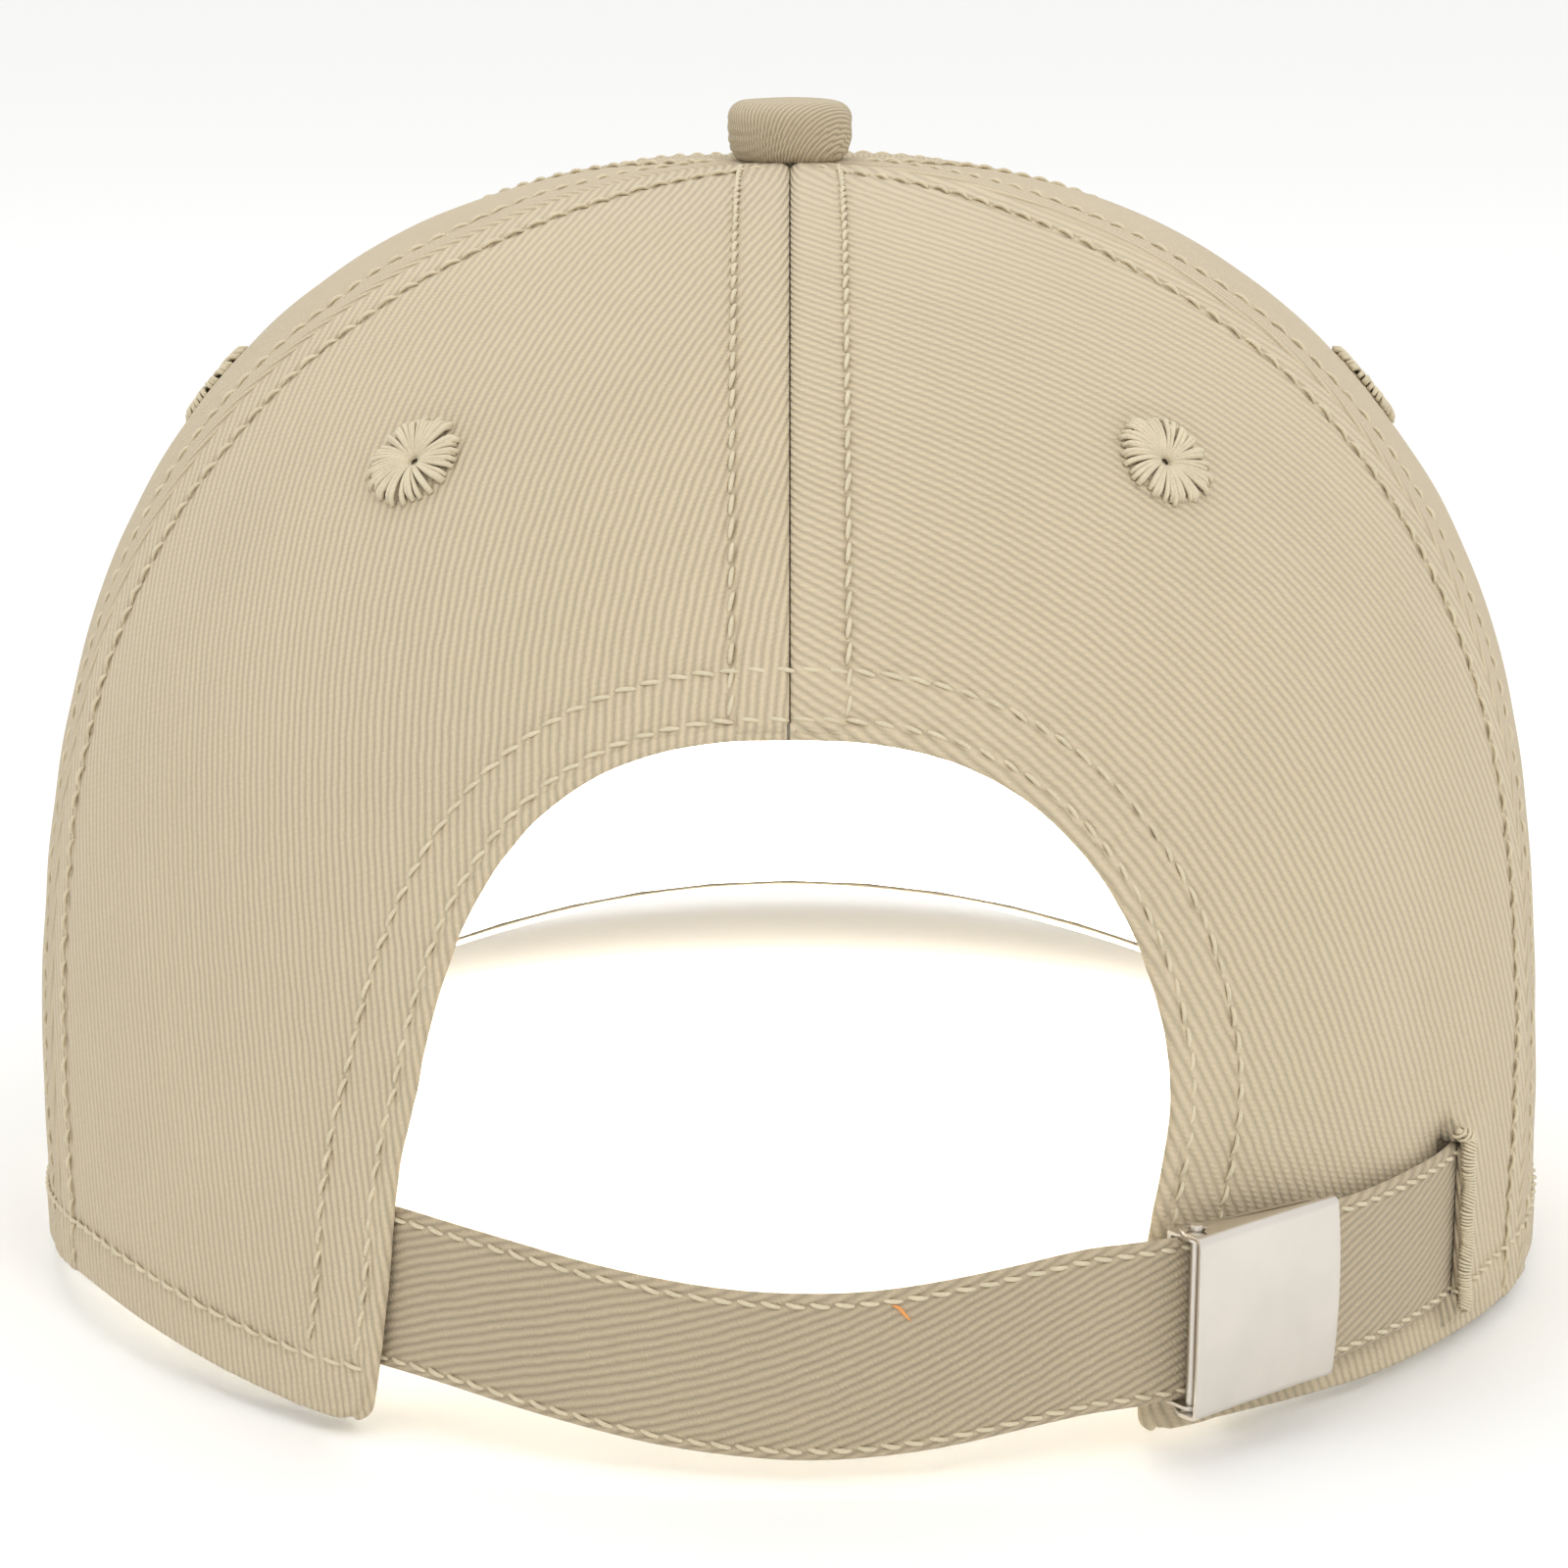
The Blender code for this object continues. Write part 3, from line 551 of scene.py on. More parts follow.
class Nodes:
    """Small helper for building node trees."""

    def __init__(self, name):
        self.material = bpy.data.materials.new(name)
        self.material.use_nodes = True
        self.tree = self.material.node_tree
        self.shader = self.tree.nodes["Principled BSDF"]

    def add(self, kind, **settings):
        node = self.tree.nodes.new(kind)
        for key, value in settings.items():
            setattr(node, key, value)
        return node

    def link(self, output, target):
        self.tree.links.new(output, target)

    def math(self, operation, first, second=None, third=None):
        node = self.add("ShaderNodeMath", operation=operation)
        for socket, value in zip(node.inputs, (first, second, third)):
            if value is None:
                continue
            if isinstance(value, (int, float)):
                socket.default_value = value
            else:
                self.link(value, socket)
        return node.outputs[0]

    def noise(self, scale, detail=2.0, vector=None, roughness=0.5):
        node = self.add("ShaderNodeTexNoise")
        node.inputs["Scale"].default_value = scale
        node.inputs["Detail"].default_value = detail
        node.inputs["Roughness"].default_value = roughness
        if vector is None:
            vector = self.add("ShaderNodeTexCoord").outputs["Object"]
        self.link(vector, node.inputs["Vector"])
        return node.outputs["Fac"]

    def weave(self):
        """The sockets of the weave attribute's x, y and z."""
        split = self.add("ShaderNodeSeparateXYZ")
        attribute = self.add("ShaderNodeAttribute", attribute_name="weave")
        self.link(attribute.outputs["Vector"], split.inputs[0])
        return split.outputs

    def paint(self, factor, *stops):
        """Base colour from a ramp between two stops of (place, colour)."""
        node = self.add("ShaderNodeValToRGB")
        for element, (place, colour) in zip(node.color_ramp.elements, stops):
            element.position = place
            element.color = (*colour, 1.0)
        self.link(factor, node.inputs["Fac"])
        self.link(node.outputs["Color"], self.shader.inputs["Base Color"])

    def bump(self, height, distance, strength=1.0):
        node = self.add("ShaderNodeBump")
        node.inputs["Distance"].default_value = distance
        node.inputs["Strength"].default_value = strength
        self.link(height, node.inputs["Height"])
        self.link(node.outputs["Normal"], self.shader.inputs["Normal"])

    def set(self, **values):
        for key, value in values.items():
            self.shader.inputs[key.replace("_", " ")].default_value = value


def tone(colour, factor):
    return tuple(min(1.0, c * factor) for c in colour)


def twill(name, colour, painted_rib_shade, depth):
    """Cotton twill: ribs across the weave attribute's x, in turns, and yarns along its y, in metres."""
    n = Nodes(name)
    weave = n.weave()
    wander = n.math("MULTIPLY", n.math("SUBTRACT", n.noise(300.0, 3.0), 0.5), 0.5)
    phase = n.math("ADD", weave["X"], wander)
    wave = n.math("COSINE", n.math("MULTIPLY", phase, 2 * math.pi))
    rib = n.math("MULTIPLY_ADD", wave, 0.5, 0.5)
    round_rib = n.math("POWER", rib, 0.55)
    yarn_phase = n.math("MULTIPLY_ADD", weave["Y"], 2 * math.pi / (0.48 * MM),
                        n.math("MULTIPLY", phase, math.pi))
    yarn = n.math("MULTIPLY_ADD", n.math("COSINE", yarn_phase), 0.5, 0.5)
    fibre = n.noise(5200.0, 2.0)
    patch = n.noise(55.0, 3.0)
    height = n.math("MULTIPLY_ADD", n.math("MULTIPLY", yarn, round_rib), 0.28, round_rib)
    height = n.math("MULTIPLY_ADD", fibre, 0.30, height)
    n.bump(height, depth)
    # Darker in the ribs' grooves and lighter on their crests: painted shade and painted highlight, added to
    # the fibres' and patches' own tone.
    shade = n.math("MULTIPLY_ADD", round_rib, 0.52 * painted_rib_shade, n.math("MULTIPLY", fibre, 0.42))
    shade = n.math("ADD", shade, n.math("MULTIPLY_ADD", patch, 0.22, -0.05))
    n.paint(shade, (0.0, tone(colour, 0.70)), (1.0, tone(colour, 1.10)))
    rough = n.math("MULTIPLY_ADD", fibre, 0.12, 0.80)
    n.link(rough, n.shader.inputs["Roughness"])
    n.set(Sheen_Weight=0.12, Sheen_Roughness=0.45, Specular_IOR_Level=0.22)
    return n.material


def thread_look(name, colour):
    n = Nodes(name)
    fibre = n.noise(4200.0, 2.0)
    long_tone = n.noise(420.0, 2.0)
    shade = n.math("MULTIPLY_ADD", fibre, 0.55, n.math("MULTIPLY", long_tone, 0.45))
    n.paint(shade, (0.25, tone(colour, 0.80)), (0.75, tone(colour, 1.14)))
    n.bump(fibre, 0.05 * MM)
    n.set(Roughness=0.58, Sheen_Weight=0.2, Sheen_Roughness=0.4, Specular_IOR_Level=0.35)
    return n.material


def plain_weave(name, colour, pitch, depth, open_weave=False):
    """Even cotton weave: the weave attribute is in metres both ways."""
    n = Nodes(name)
    weave = n.weave()
    waves = []
    for axis in ("X", "Y"):
        wave = n.math("COSINE", n.math("MULTIPLY", weave[axis], 2 * math.pi / pitch))
        waves.append(n.math("MULTIPLY_ADD", wave, 0.5, 0.5))
    crossing = n.math("MAXIMUM" if open_weave else "ADD", waves[0], waves[1])
    fibre = n.noise(3000.0, 2.0)
    height = n.math("MULTIPLY_ADD", fibre, 0.4, crossing)
    n.bump(height, depth)
    # Lighter on the yarns' crossings and darker between them: painted highlight and painted shade, added to
    # the fibres' own tone.
    shade = n.math("MULTIPLY_ADD", crossing, 0.3, n.math("MULTIPLY", fibre, 0.5))
    n.paint(shade, (0.1, tone(colour, 0.84)), (0.9, tone(colour, 1.05)))
    n.set(Roughness=0.9, Sheen_Weight=0.08, Specular_IOR_Level=0.2)
    return n.material


def satin_metal(name, colour, roughness):
    n = Nodes(name)
    place = n.add("ShaderNodeTexCoord").outputs["Object"]
    stretch = n.add("ShaderNodeMapping")
    stretch.inputs["Scale"].default_value = (1.0, 1.0, 14.0)
    n.link(place, stretch.inputs["Vector"])
    lines = n.noise(900.0, 3.0, stretch.outputs["Vector"], 0.6)
    wear = n.noise(120.0, 3.0)
    n.bump(lines, 0.004 * MM)
    rough = n.math("MULTIPLY_ADD", lines, 0.10, n.math("MULTIPLY_ADD", wear, 0.06, roughness - 0.08))
    n.link(rough, n.shader.inputs["Roughness"])
    n.paint(wear, (0.3, tone(colour, 0.95)), (0.7, tone(colour, 1.03)))
    n.set(Metallic=1.0)
    return n.material


def board_look(name):
    n = Nodes(name)
    speckle = n.noise(700.0, 3.0)
    n.bump(speckle, 0.03 * MM)
    n.paint(speckle, (0.3, (0.74, 0.74, 0.72)), (0.7, (0.84, 0.84, 0.82)))
    n.set(Roughness=0.5)
    return n.material


# ---------------------------------------------------------------- weave coordinates

def weave_on_crown(name, points):
    """Rib phase in turns and a yarn coordinate in metres, for each panel's own cut of the cloth."""
    length = np.where(points[..., 1] > 0, BACK_LENGTH, FRONT_LENGTH)
    rise = rise_at_point(points, length)
    angle = np.arctan2(points[..., 0] / HALF_WIDTH, points[..., 1] / length)
    x = points[..., 0] / MM
    z = points[..., 2] / MM
    if name == "back_left":
        outwards = x * (1 + 0.35 * (x / 89.0) ** 2)
        upwards = -0.15 * z + 0.62 * 100 / 4.8 * (np.maximum(z, 0) / 100) ** 4.8
        phase = 1.02 * (outwards + upwards)
    elif name == "back_right":
        out = np.maximum(-x, 0)
        outwards = out + 1.65 * 75 / 2.7 * (out / 75) ** 2.7
        upwards = 0.6 * z + 1.65 * 95 / 3.6 * (np.maximum(z, 0) / 95) ** 3.6
        phase = 0.524 * (outwards + upwards)
    else:
        first, last = (seam_angle(seam, rise) for seam in PANEL_SEAMS[name])
        across = wrapped(angle - (first + last) / 2) * metric(angle, rise) / MM
        up = rise * MERIDIAN / MM
        lean = {"side_left": 0.10, "side_right": 0.45, "front_left": 0.9, "front_right": -0.9}[name]
        phase = 1.1 * (across * math.cos(lean) + up * math.sin(lean))
    yarn = rise * MERIDIAN
    return np.stack([phase, yarn, 0 * phase], axis=-1)


# ---------------------------------------------------------------- crown panels

EDGE_COLUMNS = np.array([0, 0.1, 0.25, 0.45, 0.7, 1.05, 1.6, 2.5, 3.5, 4.5, 5.2, 5.6, 5.85, 6.0, 6.15,
                         6.4, 6.8, 7.4, 8.3, 9.6]) * MM
EDGE_ROWS = np.array([0, 0.1, 0.3, 0.55, 0.9, 1.5, 2.5, 3.7, 4.8, 5.5, 5.9, 6.2, 6.5, 6.9, 7.6, 8.6]) * MM


def roll(distance, radius):
    """How far a folded edge has turned in, at a distance from it."""
    t = np.clip(1 - distance / radius, 0, 1)
    return -radius * (1 - np.sqrt(1 - 0.96 * t * t))


def row_dip(distance, row, width=0.55 * MM):
    return -np.exp(-((distance - row) / width) ** 2)


def strap_gaps():
    """Plan angles along the strap's ring, and how far its middle stands off the crown there."""
    places = np.array([strap_point(turn) for turn in np.radians(np.arange(20, 100, 1.0))])
    angle = np.arctan2(places[:, 0] / HALF_WIDTH, places[:, 1] / BACK_LENGTH)
    ratio = np.hypot(places[:, 0] / HALF_WIDTH, places[:, 1] / BACK_LENGTH)
    ratio -= spread_at(rise_at_height(places[:, 2]))
    gap = ratio * np.hypot(HALF_WIDTH * np.sin(angle), BACK_LENGTH * np.cos(angle))
    return -angle, gap


def slot_lift(points, angle, flap):
    """How the slot's lips part: the flap lies over the strap, the other lip under it."""
    angles, gaps = strap_gaps()
    gap = np.interp(-wrapped(angle), angles, gaps)
    half = STRAP_THICKNESS / 2 + SLOT_CLEARANCE
    over = np.maximum(0, gap + half + PANEL_THICKNESS)
    under = np.minimum(0, gap - half)
    height = np.abs(points[..., 2] - (SLOT_LOW + SLOT_HIGH) / 2)
    near = 1 - smooth_step(height, 9.6 * MM, 12.5 * MM)
    under = under * (wrapped(angle) > SLOT_ANGLE - 0.05)
    return np.where(flap, over, under) * near * (wrapped(angle) < math.radians(-40))


def loose_offset(points, angle, flap=None):
    """The cloth's slow waves, its tuck by the clasp, its lift over the strap's end, and the slot."""
    if flap is None:
        flap = wrapped(angle) < SLOT_ANGLE
    waves = 0.34 * MM * ripple(points, 42 * MM, 3) + 0.08 * MM * ripple(points, 12 * MM, 4)
    aside = np.exp(-((points[..., 0] + 50 * MM) / (13 * MM)) ** 2) * (points[..., 1] > 0)
    tuck = CLASP_TUCK * aside * smooth_step(48 * MM - points[..., 2], 0, 38 * MM)
    leg = np.exp(-((points[..., 0] - 47 * MM) / (7 * MM)) ** 2) * (points[..., 1] > 0)
    lift = LEG_LIFT * leg * (1 - smooth_step(points[..., 2], 24 * MM, 40 * MM))
    return waves - tuck + lift + slot_lift(points, angle, flap)


def cloth_offset(points, angle, flap, seam, along, rim, arch):
    """Height of the sewn cloth above the smooth crown, from its distances to seam, rim and arch."""
    out = loose_offset(points, angle, flap)
    pucker = np.cos(2 * np.pi * along / STITCH)
    tug = 0.5 + 0.5 * ripple(points, 9 * MM, 5)
    out = out + roll(seam, 0.55 * MM)
    out += SEAM_RISE * smooth_step(seam, 0, 1.2 * MM) * (1 - smooth_step(seam, 5.6 * MM, 7.0 * MM))
    out += ROW_SINK * row_dip(seam, SEAM_ROW)
    out += 0.11 * MM * pucker * -row_dip(seam, SEAM_ROW, 1.6 * MM)
    out -= 0.20 * MM * tug * -row_dip(seam, 3.6 * MM, 2.6 * MM)
    out += roll(rim, 0.8 * MM) + 0.40 * MM * row_dip(rim, HEM_ROW)
    out += HEM_RISE * (1 - smooth_step(rim, 5.6 * MM, 7.2 * MM))
    hem_pucker = np.cos(2 * np.pi * (points[..., 0] + points[..., 1]) / HEM_STITCH)
    out += 0.12 * MM * hem_pucker * -row_dip(rim, 5.0 * MM, 2.2 * MM)
    if arch is not None:
        sure = np.maximum(arch, 0)
        sweep = np.arctan2(points[..., 0], points[..., 2] - 30 * MM) * 44 * MM
        out += ARCH_RISE * (1 - smooth_step(sure, 6.4 * MM, 8.2 * MM))
        out += 0.10 * MM * np.cos(2 * np.pi * sweep / STITCH) * -row_dip(sure, 5.4 * MM, 2.4 * MM)
        out -= 0.16 * MM * tug * -row_dip(sure, 4.2 * MM, 1.6 * MM)
        for row in ARCH_ROWS:
            out += ROW_SINK * row_dip(sure, row * 1.05)
    for degrees in EYELET_ANGLES.values():
        for sign in (1, -1):
            centre = surface(np.array([sign * math.radians(degrees)]), np.array([EYELET_RISE]))[0]
            away = np.linalg.norm(points - centre, axis=-1)
            out += 0.30 * MM * (1 - smooth_step(away, 3.5 * MM, 6.4 * MM))
            out += 0.20 * MM * row_dip(away, 6.3 * MM, 0.8 * MM)
    return out


def panel_columns(half):
    """Distances from one seam to the panel's middle, for the half width of each row."""
    detail = EDGE_COLUMNS[None, :] * np.minimum(1, half[:, None] / (EDGE_COLUMNS[-1] * 1.25))
    rest = np.linspace(0, 1, 23)[None, 1:]
    middle = detail[:, -1:] + (half[:, None] - detail[:, -1:]) * rest
    return np.concatenate([detail, middle], axis=1)


def panel_cloth(name, look):
    """A panel's outer skin: even rows and columns, closer together along its seams, rim and slot."""
    first_seam, last_seam = PANEL_SEAMS[name]
    arched = name.startswith("back")
    top = rise_at_radius(HOLE_RADIUS)
    even = np.arange(9.6, 150.0, 0.95) * MM
    rows = np.concatenate([EDGE_ROWS, even]) / MERIDIAN
    rows = np.append(rows[rows < top - 0.004], top) / top
    rises = rows * top
    first = seam_angle(first_seam, rises)
    last = seam_angle(last_seam, rises)
    middle = (first + last) / 2
    scale = metric(middle, rises)
    half = (last - first) / 2 * scale - SEAM_GAP / 2
    from_first = panel_columns(half)
    reach = SEAM_GAP / 2 + from_first
    share = reach / (half + SEAM_GAP / 2)[:, None]
    left = first[:, None] + share * ((last - first) / 2)[:, None]
    right = last[:, None] - share[:, -2::-1] * ((last - first) / 2)[:, None]
    angle = np.concatenate([left, right], axis=1)
    seam = np.concatenate([from_first, from_first[:, -2::-1]], axis=1)
    slot_column = None
    if name == "back_right":
        slot_column = open_slot(angle, surface(middle, rises)[:, 2], scale)
    bottom = rise_at_height(rim_height(angle))
    rise = bottom + (top - bottom) * rows[:, None]
    flat = surface(angle, rise)
    rim = np.where(flat[..., 2] < 45 * MM, flat[..., 2] - rim_height(angle), 1.0)
    count_rows, count_columns = angle.shape
    faces = grid_faces(count_rows, count_columns)
    flap = np.zeros(angle.shape, bool)
    if slot_column is not None:
        flap[:, :slot_column + 1] = True
        faces = [face for face in faces if face[0] % count_columns != slot_column
                 or not SLOT_LOW < flat[face[0] // count_columns, slot_column, 2] < SLOT_HIGH]
    angle, rise, seam, rim, flap = (a.ravel() for a in (angle, rise, seam, rim, flap))
    flat = flat.reshape(-1, 3)
    arch = None
    if arched:
        faces, angle, rise = trim_to_arch(faces, angle, rise, flat)
        flat = surface(angle, rise)
        arch = arch_distance(flat)
    points = crown(angle, rise, cloth_offset(flat, angle, flap, seam, rise * MERIDIAN, rim, arch))
    used = sorted({k for face in faces for k in face})
    renumber = {old: new for new, old in enumerate(used)}
    faces = [tuple(renumber[k] for k in reversed(face)) for face in faces]
    obj = new_object(name + "_cloth", points[used], faces, look)
    if arched:
        merge_along_arch(obj, arch[used])
    return obj


def merge_along_arch(obj, distance):
    """Joins the vertices that trimming has drawn onto the arch almost on top of each other."""
    tidy = bmesh.new()
    tidy.from_mesh(obj.data)
    tidy.verts.ensure_lookup_table()
    edge = [tidy.verts[k] for k in np.flatnonzero(distance < ARCH_FOLD + 0.03 * MM)]
    bmesh.ops.remove_doubles(tidy, verts=edge, dist=0.40 * MM)
    bmesh.ops.dissolve_degenerate(tidy, edges=tidy.edges, dist=0.01 * MM)
    tidy.to_mesh(obj.data)
    tidy.free()


def open_slot(angle, heights, scale):
    """Draws four of a panel's columns together along the slot, and gives the one on its flap side."""
    centre = 2 * math.pi + SLOT_ANGLE
    row = int(np.argmin(np.abs(heights - 14 * MM)))
    column = int(np.searchsorted(angle[row], centre)) - 1
    near = 1 - smooth_step(heights, 27 * MM, 40 * MM)
    for k, offset in enumerate((-1.0 * MM, -SLOT_HALF_WIDTH, SLOT_HALF_WIDTH, 1.0 * MM)):
        target = centre + offset / scale
        angle[:, column - 1 + k] += (target - angle[:, column - 1 + k]) * near
    return column


def trim_to_arch(faces, angle, rise, flat):
    """Drops the faces inside the arch, and draws the corners of those that cross it onto it."""
    distance = arch_distance(flat) - ARCH_FOLD
    inside = distance < 0
    kept = [face for face in faces if not all(inside[k] for k in face)]
    crossing = sorted({k for face in kept if any(inside[m] for m in face) for k in face if inside[k]})
    angle = angle.copy()
    rise = rise.copy()
    for k in crossing:
        near = ARCH_TREE.find((flat[k, 0], 0, flat[k, 2]))[1]
        new_angle, new_rise = behind(ARCH_POINTS[near] + ARCH_OUT[near] * ARCH_FOLD)
        angle[k] = new_angle if angle[k] < np.pi else new_angle + 2 * np.pi
        rise[k] = new_rise
    return kept, angle, rise


def eyelet_frame(angle):
    at = np.array([angle])
    rise = np.array([EYELET_RISE])
    matrix = Vector(normal(at, rise)[0]).to_track_quat("Z", "Y").to_matrix().to_4x4()
    flat = surface(at, rise)
    matrix.translation = Vector(crown(at, rise, loose_offset(flat, at) + 0.15 * MM)[0])
    return matrix


def eyelet_cutter(angle):
    bpy.ops.mesh.primitive_cylinder_add(vertices=32, radius=EYELET_HOLE + 0.1 * MM, depth=8 * MM)
    cutter = bpy.context.active_object
    cutter.matrix_world = eyelet_frame(angle)
    return cutter


def crown_cloth(look):
    """The six panels, each with its thickness, its eyelet's hole and its own weave."""
    for name in PANEL_SEAMS:
        obj = panel_cloth(name, look)
        solidify(obj, PANEL_THICKNESS)
        row, side = name.split("_")
        sign = 1 if side == "left" else -1
        cutter = eyelet_cutter(sign * math.radians(EYELET_ANGLES[row]))
        cut(obj, cutter)
        apply_modifiers(obj)
        remove([cutter])
        write_weave(obj, weave_on_crown(name, vertex_places(obj)))
        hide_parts(name + "_panel")


def arch_fold(look):
    """The folded edge of the cloth round the opening, from its outside over to its inside."""
    outline = even_steps(arch_outline(0.2 * MM), 0.35 * MM)
    away = away_from_arch(outline)
    profile = np.array([(1.65, -0.15), (1.3, 0.27), (0.95, 0.37), (0.6, 0.37), (0.3, 0.24), (0.1, 0.0),
                        (0.0, -0.3), (0.0, -0.6), (0.1, -0.8), (0.35, -0.97), (0.8, -1.03), (1.6, -1.02)])
    rows = []
    places = np.stack([outline[:, 0], 0 * outline[:, 0], outline[:, 1]], axis=1)
    wobble = 0.05 * ripple(places, 5 * MM, 6)
    for across, lift in profile * MM:
        angle, rise = behind(outline + away * (across + wobble * MM)[:, None])
        flat = surface(angle, rise)
        rows.append(crown(angle, rise, loose_offset(flat, angle) + lift))
    verts = np.array(rows)
    faces = grid_faces(len(profile), len(outline))
    left = weave_on_crown("back_left", verts)
    weave = np.where(verts[..., :1] > 0, left, weave_on_crown("back_right", verts))
    obj = new_object("arch_fold", verts.reshape(-1, 3), faces, look, weave=weave.reshape(-1, 3))


# ---------------------------------------------------------------- stitch rows on the crown

def sew(angle, rises, lift, source, length=STITCH):
    """Stitches that lie on the crown's cloth."""
    out = loose_offset(surface(angle, rises), angle) + lift
    return stitches(crown(angle, rises, out), normal(angle, rises), source, length)


def seam_rows(look):
    source = random.Random(11)
    top = rise_at_radius(7.6 * MM)
    for seam in ("back", "back_left", "back_right", "front_left", "front", "front_right"):
        made = []
        for side in (-1, 1):
            foot = float(rim_height(seam_angle(seam, 0.0))) + 1.0 * MM
            if seam == "back":
                foot = ARCH_TOP + 2.0 * MM
            rises = np.linspace(float(rise_at_height(foot)), top, 500)
            angle = seam_angle(seam, rises)
            angle = angle + side * SEAM_ROW / metric(angle, rises)
            made += sew(angle, rises, 0.06 * MM, source)
        join_strands("stitches_" + seam, made, look)


def hem_row(look):
    start = math.asin((ARCH_WIDTH + 4.0 * MM) / HALF_WIDTH)
    angle = np.linspace(start, 2 * math.pi - start, 2400)
    rises = rise_at_height(rim_height(angle) + HEM_ROW)
    made = sew(angle, rises, 0.02 * MM, random.Random(12), HEM_STITCH)
    join_strands("stitches_hem", made, look)


def arch_rows(look):
    source = random.Random(13)
    made = []
    for offset in ARCH_ROWS:
        row = arch_row(offset)
        angle, rises = behind(row[row[:, 1] > 7.4 * MM])
        made += sew(angle, rises, 0.10 * MM, source)
    join_strands("stitches_arch", made, look)


# ---------------------------------------------------------------- eyelets

def eyelet(name, angle, source, look):
    """Buttonhole strands that run from the hole out over the cloth, on both of its sides."""
    frame = np.array(eyelet_frame(angle))
    made = []
    count = 54
    share = np.linspace(0, 1, 10)
    for side in (1, -1):
        for k in range(count):
            turn = 2 * math.pi * (k + source.uniform(-0.3, 0.3)) / count
            reach = EYELET_RADIUS * source.uniform(0.90, 1.05)
            radii = np.linspace(EYELET_HOLE - 0.75 * MM, reach, len(share))
            lean = turn + 0.16 * share * source.uniform(0.2, 1.4)
            rounded = np.sqrt(np.maximum(0, 1 - (2 * share - 0.85) ** 2 / 1.33))
            height = (0.22 + 0.55 * rounded - 0.8 * (1 - share) ** 5) * MM * source.uniform(0.80, 1.12)
            height[-1] = -0.1 * MM
            if side < 0:
                height = -PANEL_THICKNESS - 0.5 * height
            local = np.stack([radii * np.cos(lean), radii * np.sin(lean), height], axis=1)
            size = np.interp(share, [0, 0.2, 0.85, 1], [0.11, 0.17, 0.33, 0.30]) * MM
            path = local @ frame[:3, :3].T + frame[:3, 3]
            up = np.tile(frame[:3, 2] * side, (len(path), 1))
            made.append(strand(path, up, size))
    obj = join_strands(name + "_strands", made, look)
    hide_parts(name)


def eyelets(look):
    source = random.Random(14)
    for row, degrees in EYELET_ANGLES.items():
        for side, sign in (("left", 1), ("right", -1)):
            eyelet(f"eyelet_{row}_{side}", sign * math.radians(degrees), source, look)


# ---------------------------------------------------------------- button

def lathe(profile, steps):
    """Vertices and faces of a closed profile of (radius, height), turned about z."""
    profile = np.asarray(profile, float)
    turn = np.linspace(0, 2 * np.pi, steps, endpoint=False)
    x = profile[:, 0, None] * np.cos(turn)
    y = profile[:, 0, None] * np.sin(turn)
    z = np.repeat(profile[:, 1, None], steps, axis=1)
    return np.stack([x, y, z], axis=-1).reshape(-1, 3), grid_faces(len(profile), steps, wrap=True)


def button(look):
    """Twill gathered over the button, with fine folds that fan out round its side."""
    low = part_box("button_cover")[0].z
    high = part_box("button_cover")[1].z
    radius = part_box("button_cover")[1].x
    turn = np.linspace(0, np.pi / 2, 26)
    middle = low + 4.4 * MM
    flat = 0.72
    dome = [(radius * (flat + (1 - flat) * math.sin(t)),
             middle + (high - middle) * (0.12 + 0.88 * math.cos(t) - 0.12 * (t / 1.57) ** 2)) for t in turn]
    top = [(radius * flat * s, high) for s in np.linspace(0.004, 0.95, 14)]
    foot = low - 0.6 * MM
    tuck = [(radius * (1 - 0.035 * s - 0.16 * s ** 6), dome[-1][1] - (dome[-1][1] - foot) * s)
            for s in np.linspace(0, 1, 16)[1:]]
    steps = 200
    verts, faces = lathe(top + dome + tuck, steps)
    outward = unit(verts * np.array([1, 1, 0.0]) + np.array([0, 0, 1e-5]))
    lowness = smooth_step(high - verts[:, 2], 1.6 * MM, 3.2 * MM)
    lowness *= 0.35 + 0.65 * smooth_step(verts[:, 1], -3 * MM, 3 * MM)
    fan = np.hypot(verts[:, 0] - 6.5 * MM, verts[:, 2] - high - 2.5 * MM)
    fan = fan + 0.25 * MM * ripple(verts, 5 * MM, 41)
    folds = np.abs(np.sin(np.pi * fan / (1.05 * MM)))
    verts = verts + outward * ((0.26 * MM * folds - 0.10 * MM) * lowness)[:, None]
    verts = verts + np.array([0, 0, 1.0]) * (0.10 * MM * ripple(verts, 8 * MM, 42))[:, None]
    unrolled = verts * (1 + (high - verts[:, 2]) / np.hypot(verts[:, 0], verts[:, 1]))[:, None]
    phase = (unrolled[:, 0] * 0.8 - unrolled[:, 1] * 0.6) / (0.62 * MM)
    weave = np.stack([phase, unrolled[:, 0] + unrolled[:, 1], 0 * phase], axis=1)
    faces = [tuple(reversed(face)) for face in faces] + [tuple(range(steps))]
    obj = new_object("button_cloth", verts, faces, look, weave=weave)
    solidify(obj, 0.5 * MM)
    apply_modifiers(obj)
    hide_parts("button_cover")


# ---------------------------------------------------------------- strap

def strap_axes():
    up = Vector((STRAP_SLOPES[0], STRAP_SLOPES[1], 1.0)).normalized()
    back = (Vector((0, 1, 0)) - up * up.y).normalized()
    left = back.cross(up)
    drop = STRAP_SLOPES[0] * STRAP_CENTRE[0] + STRAP_SLOPES[1] * STRAP_CENTRE[1]
    return Vector((*STRAP_CENTRE, STRAP_PLANE_HEIGHT - drop)), left, back, up


def strap_point(turn, up_by=0.0, out_by=0.0):
    centre, left, back, up = strap_axes()
    radial = back * math.cos(turn) - left * math.sin(turn)
    return centre + radial * (STRAP_RADIUS + out_by) + up * up_by


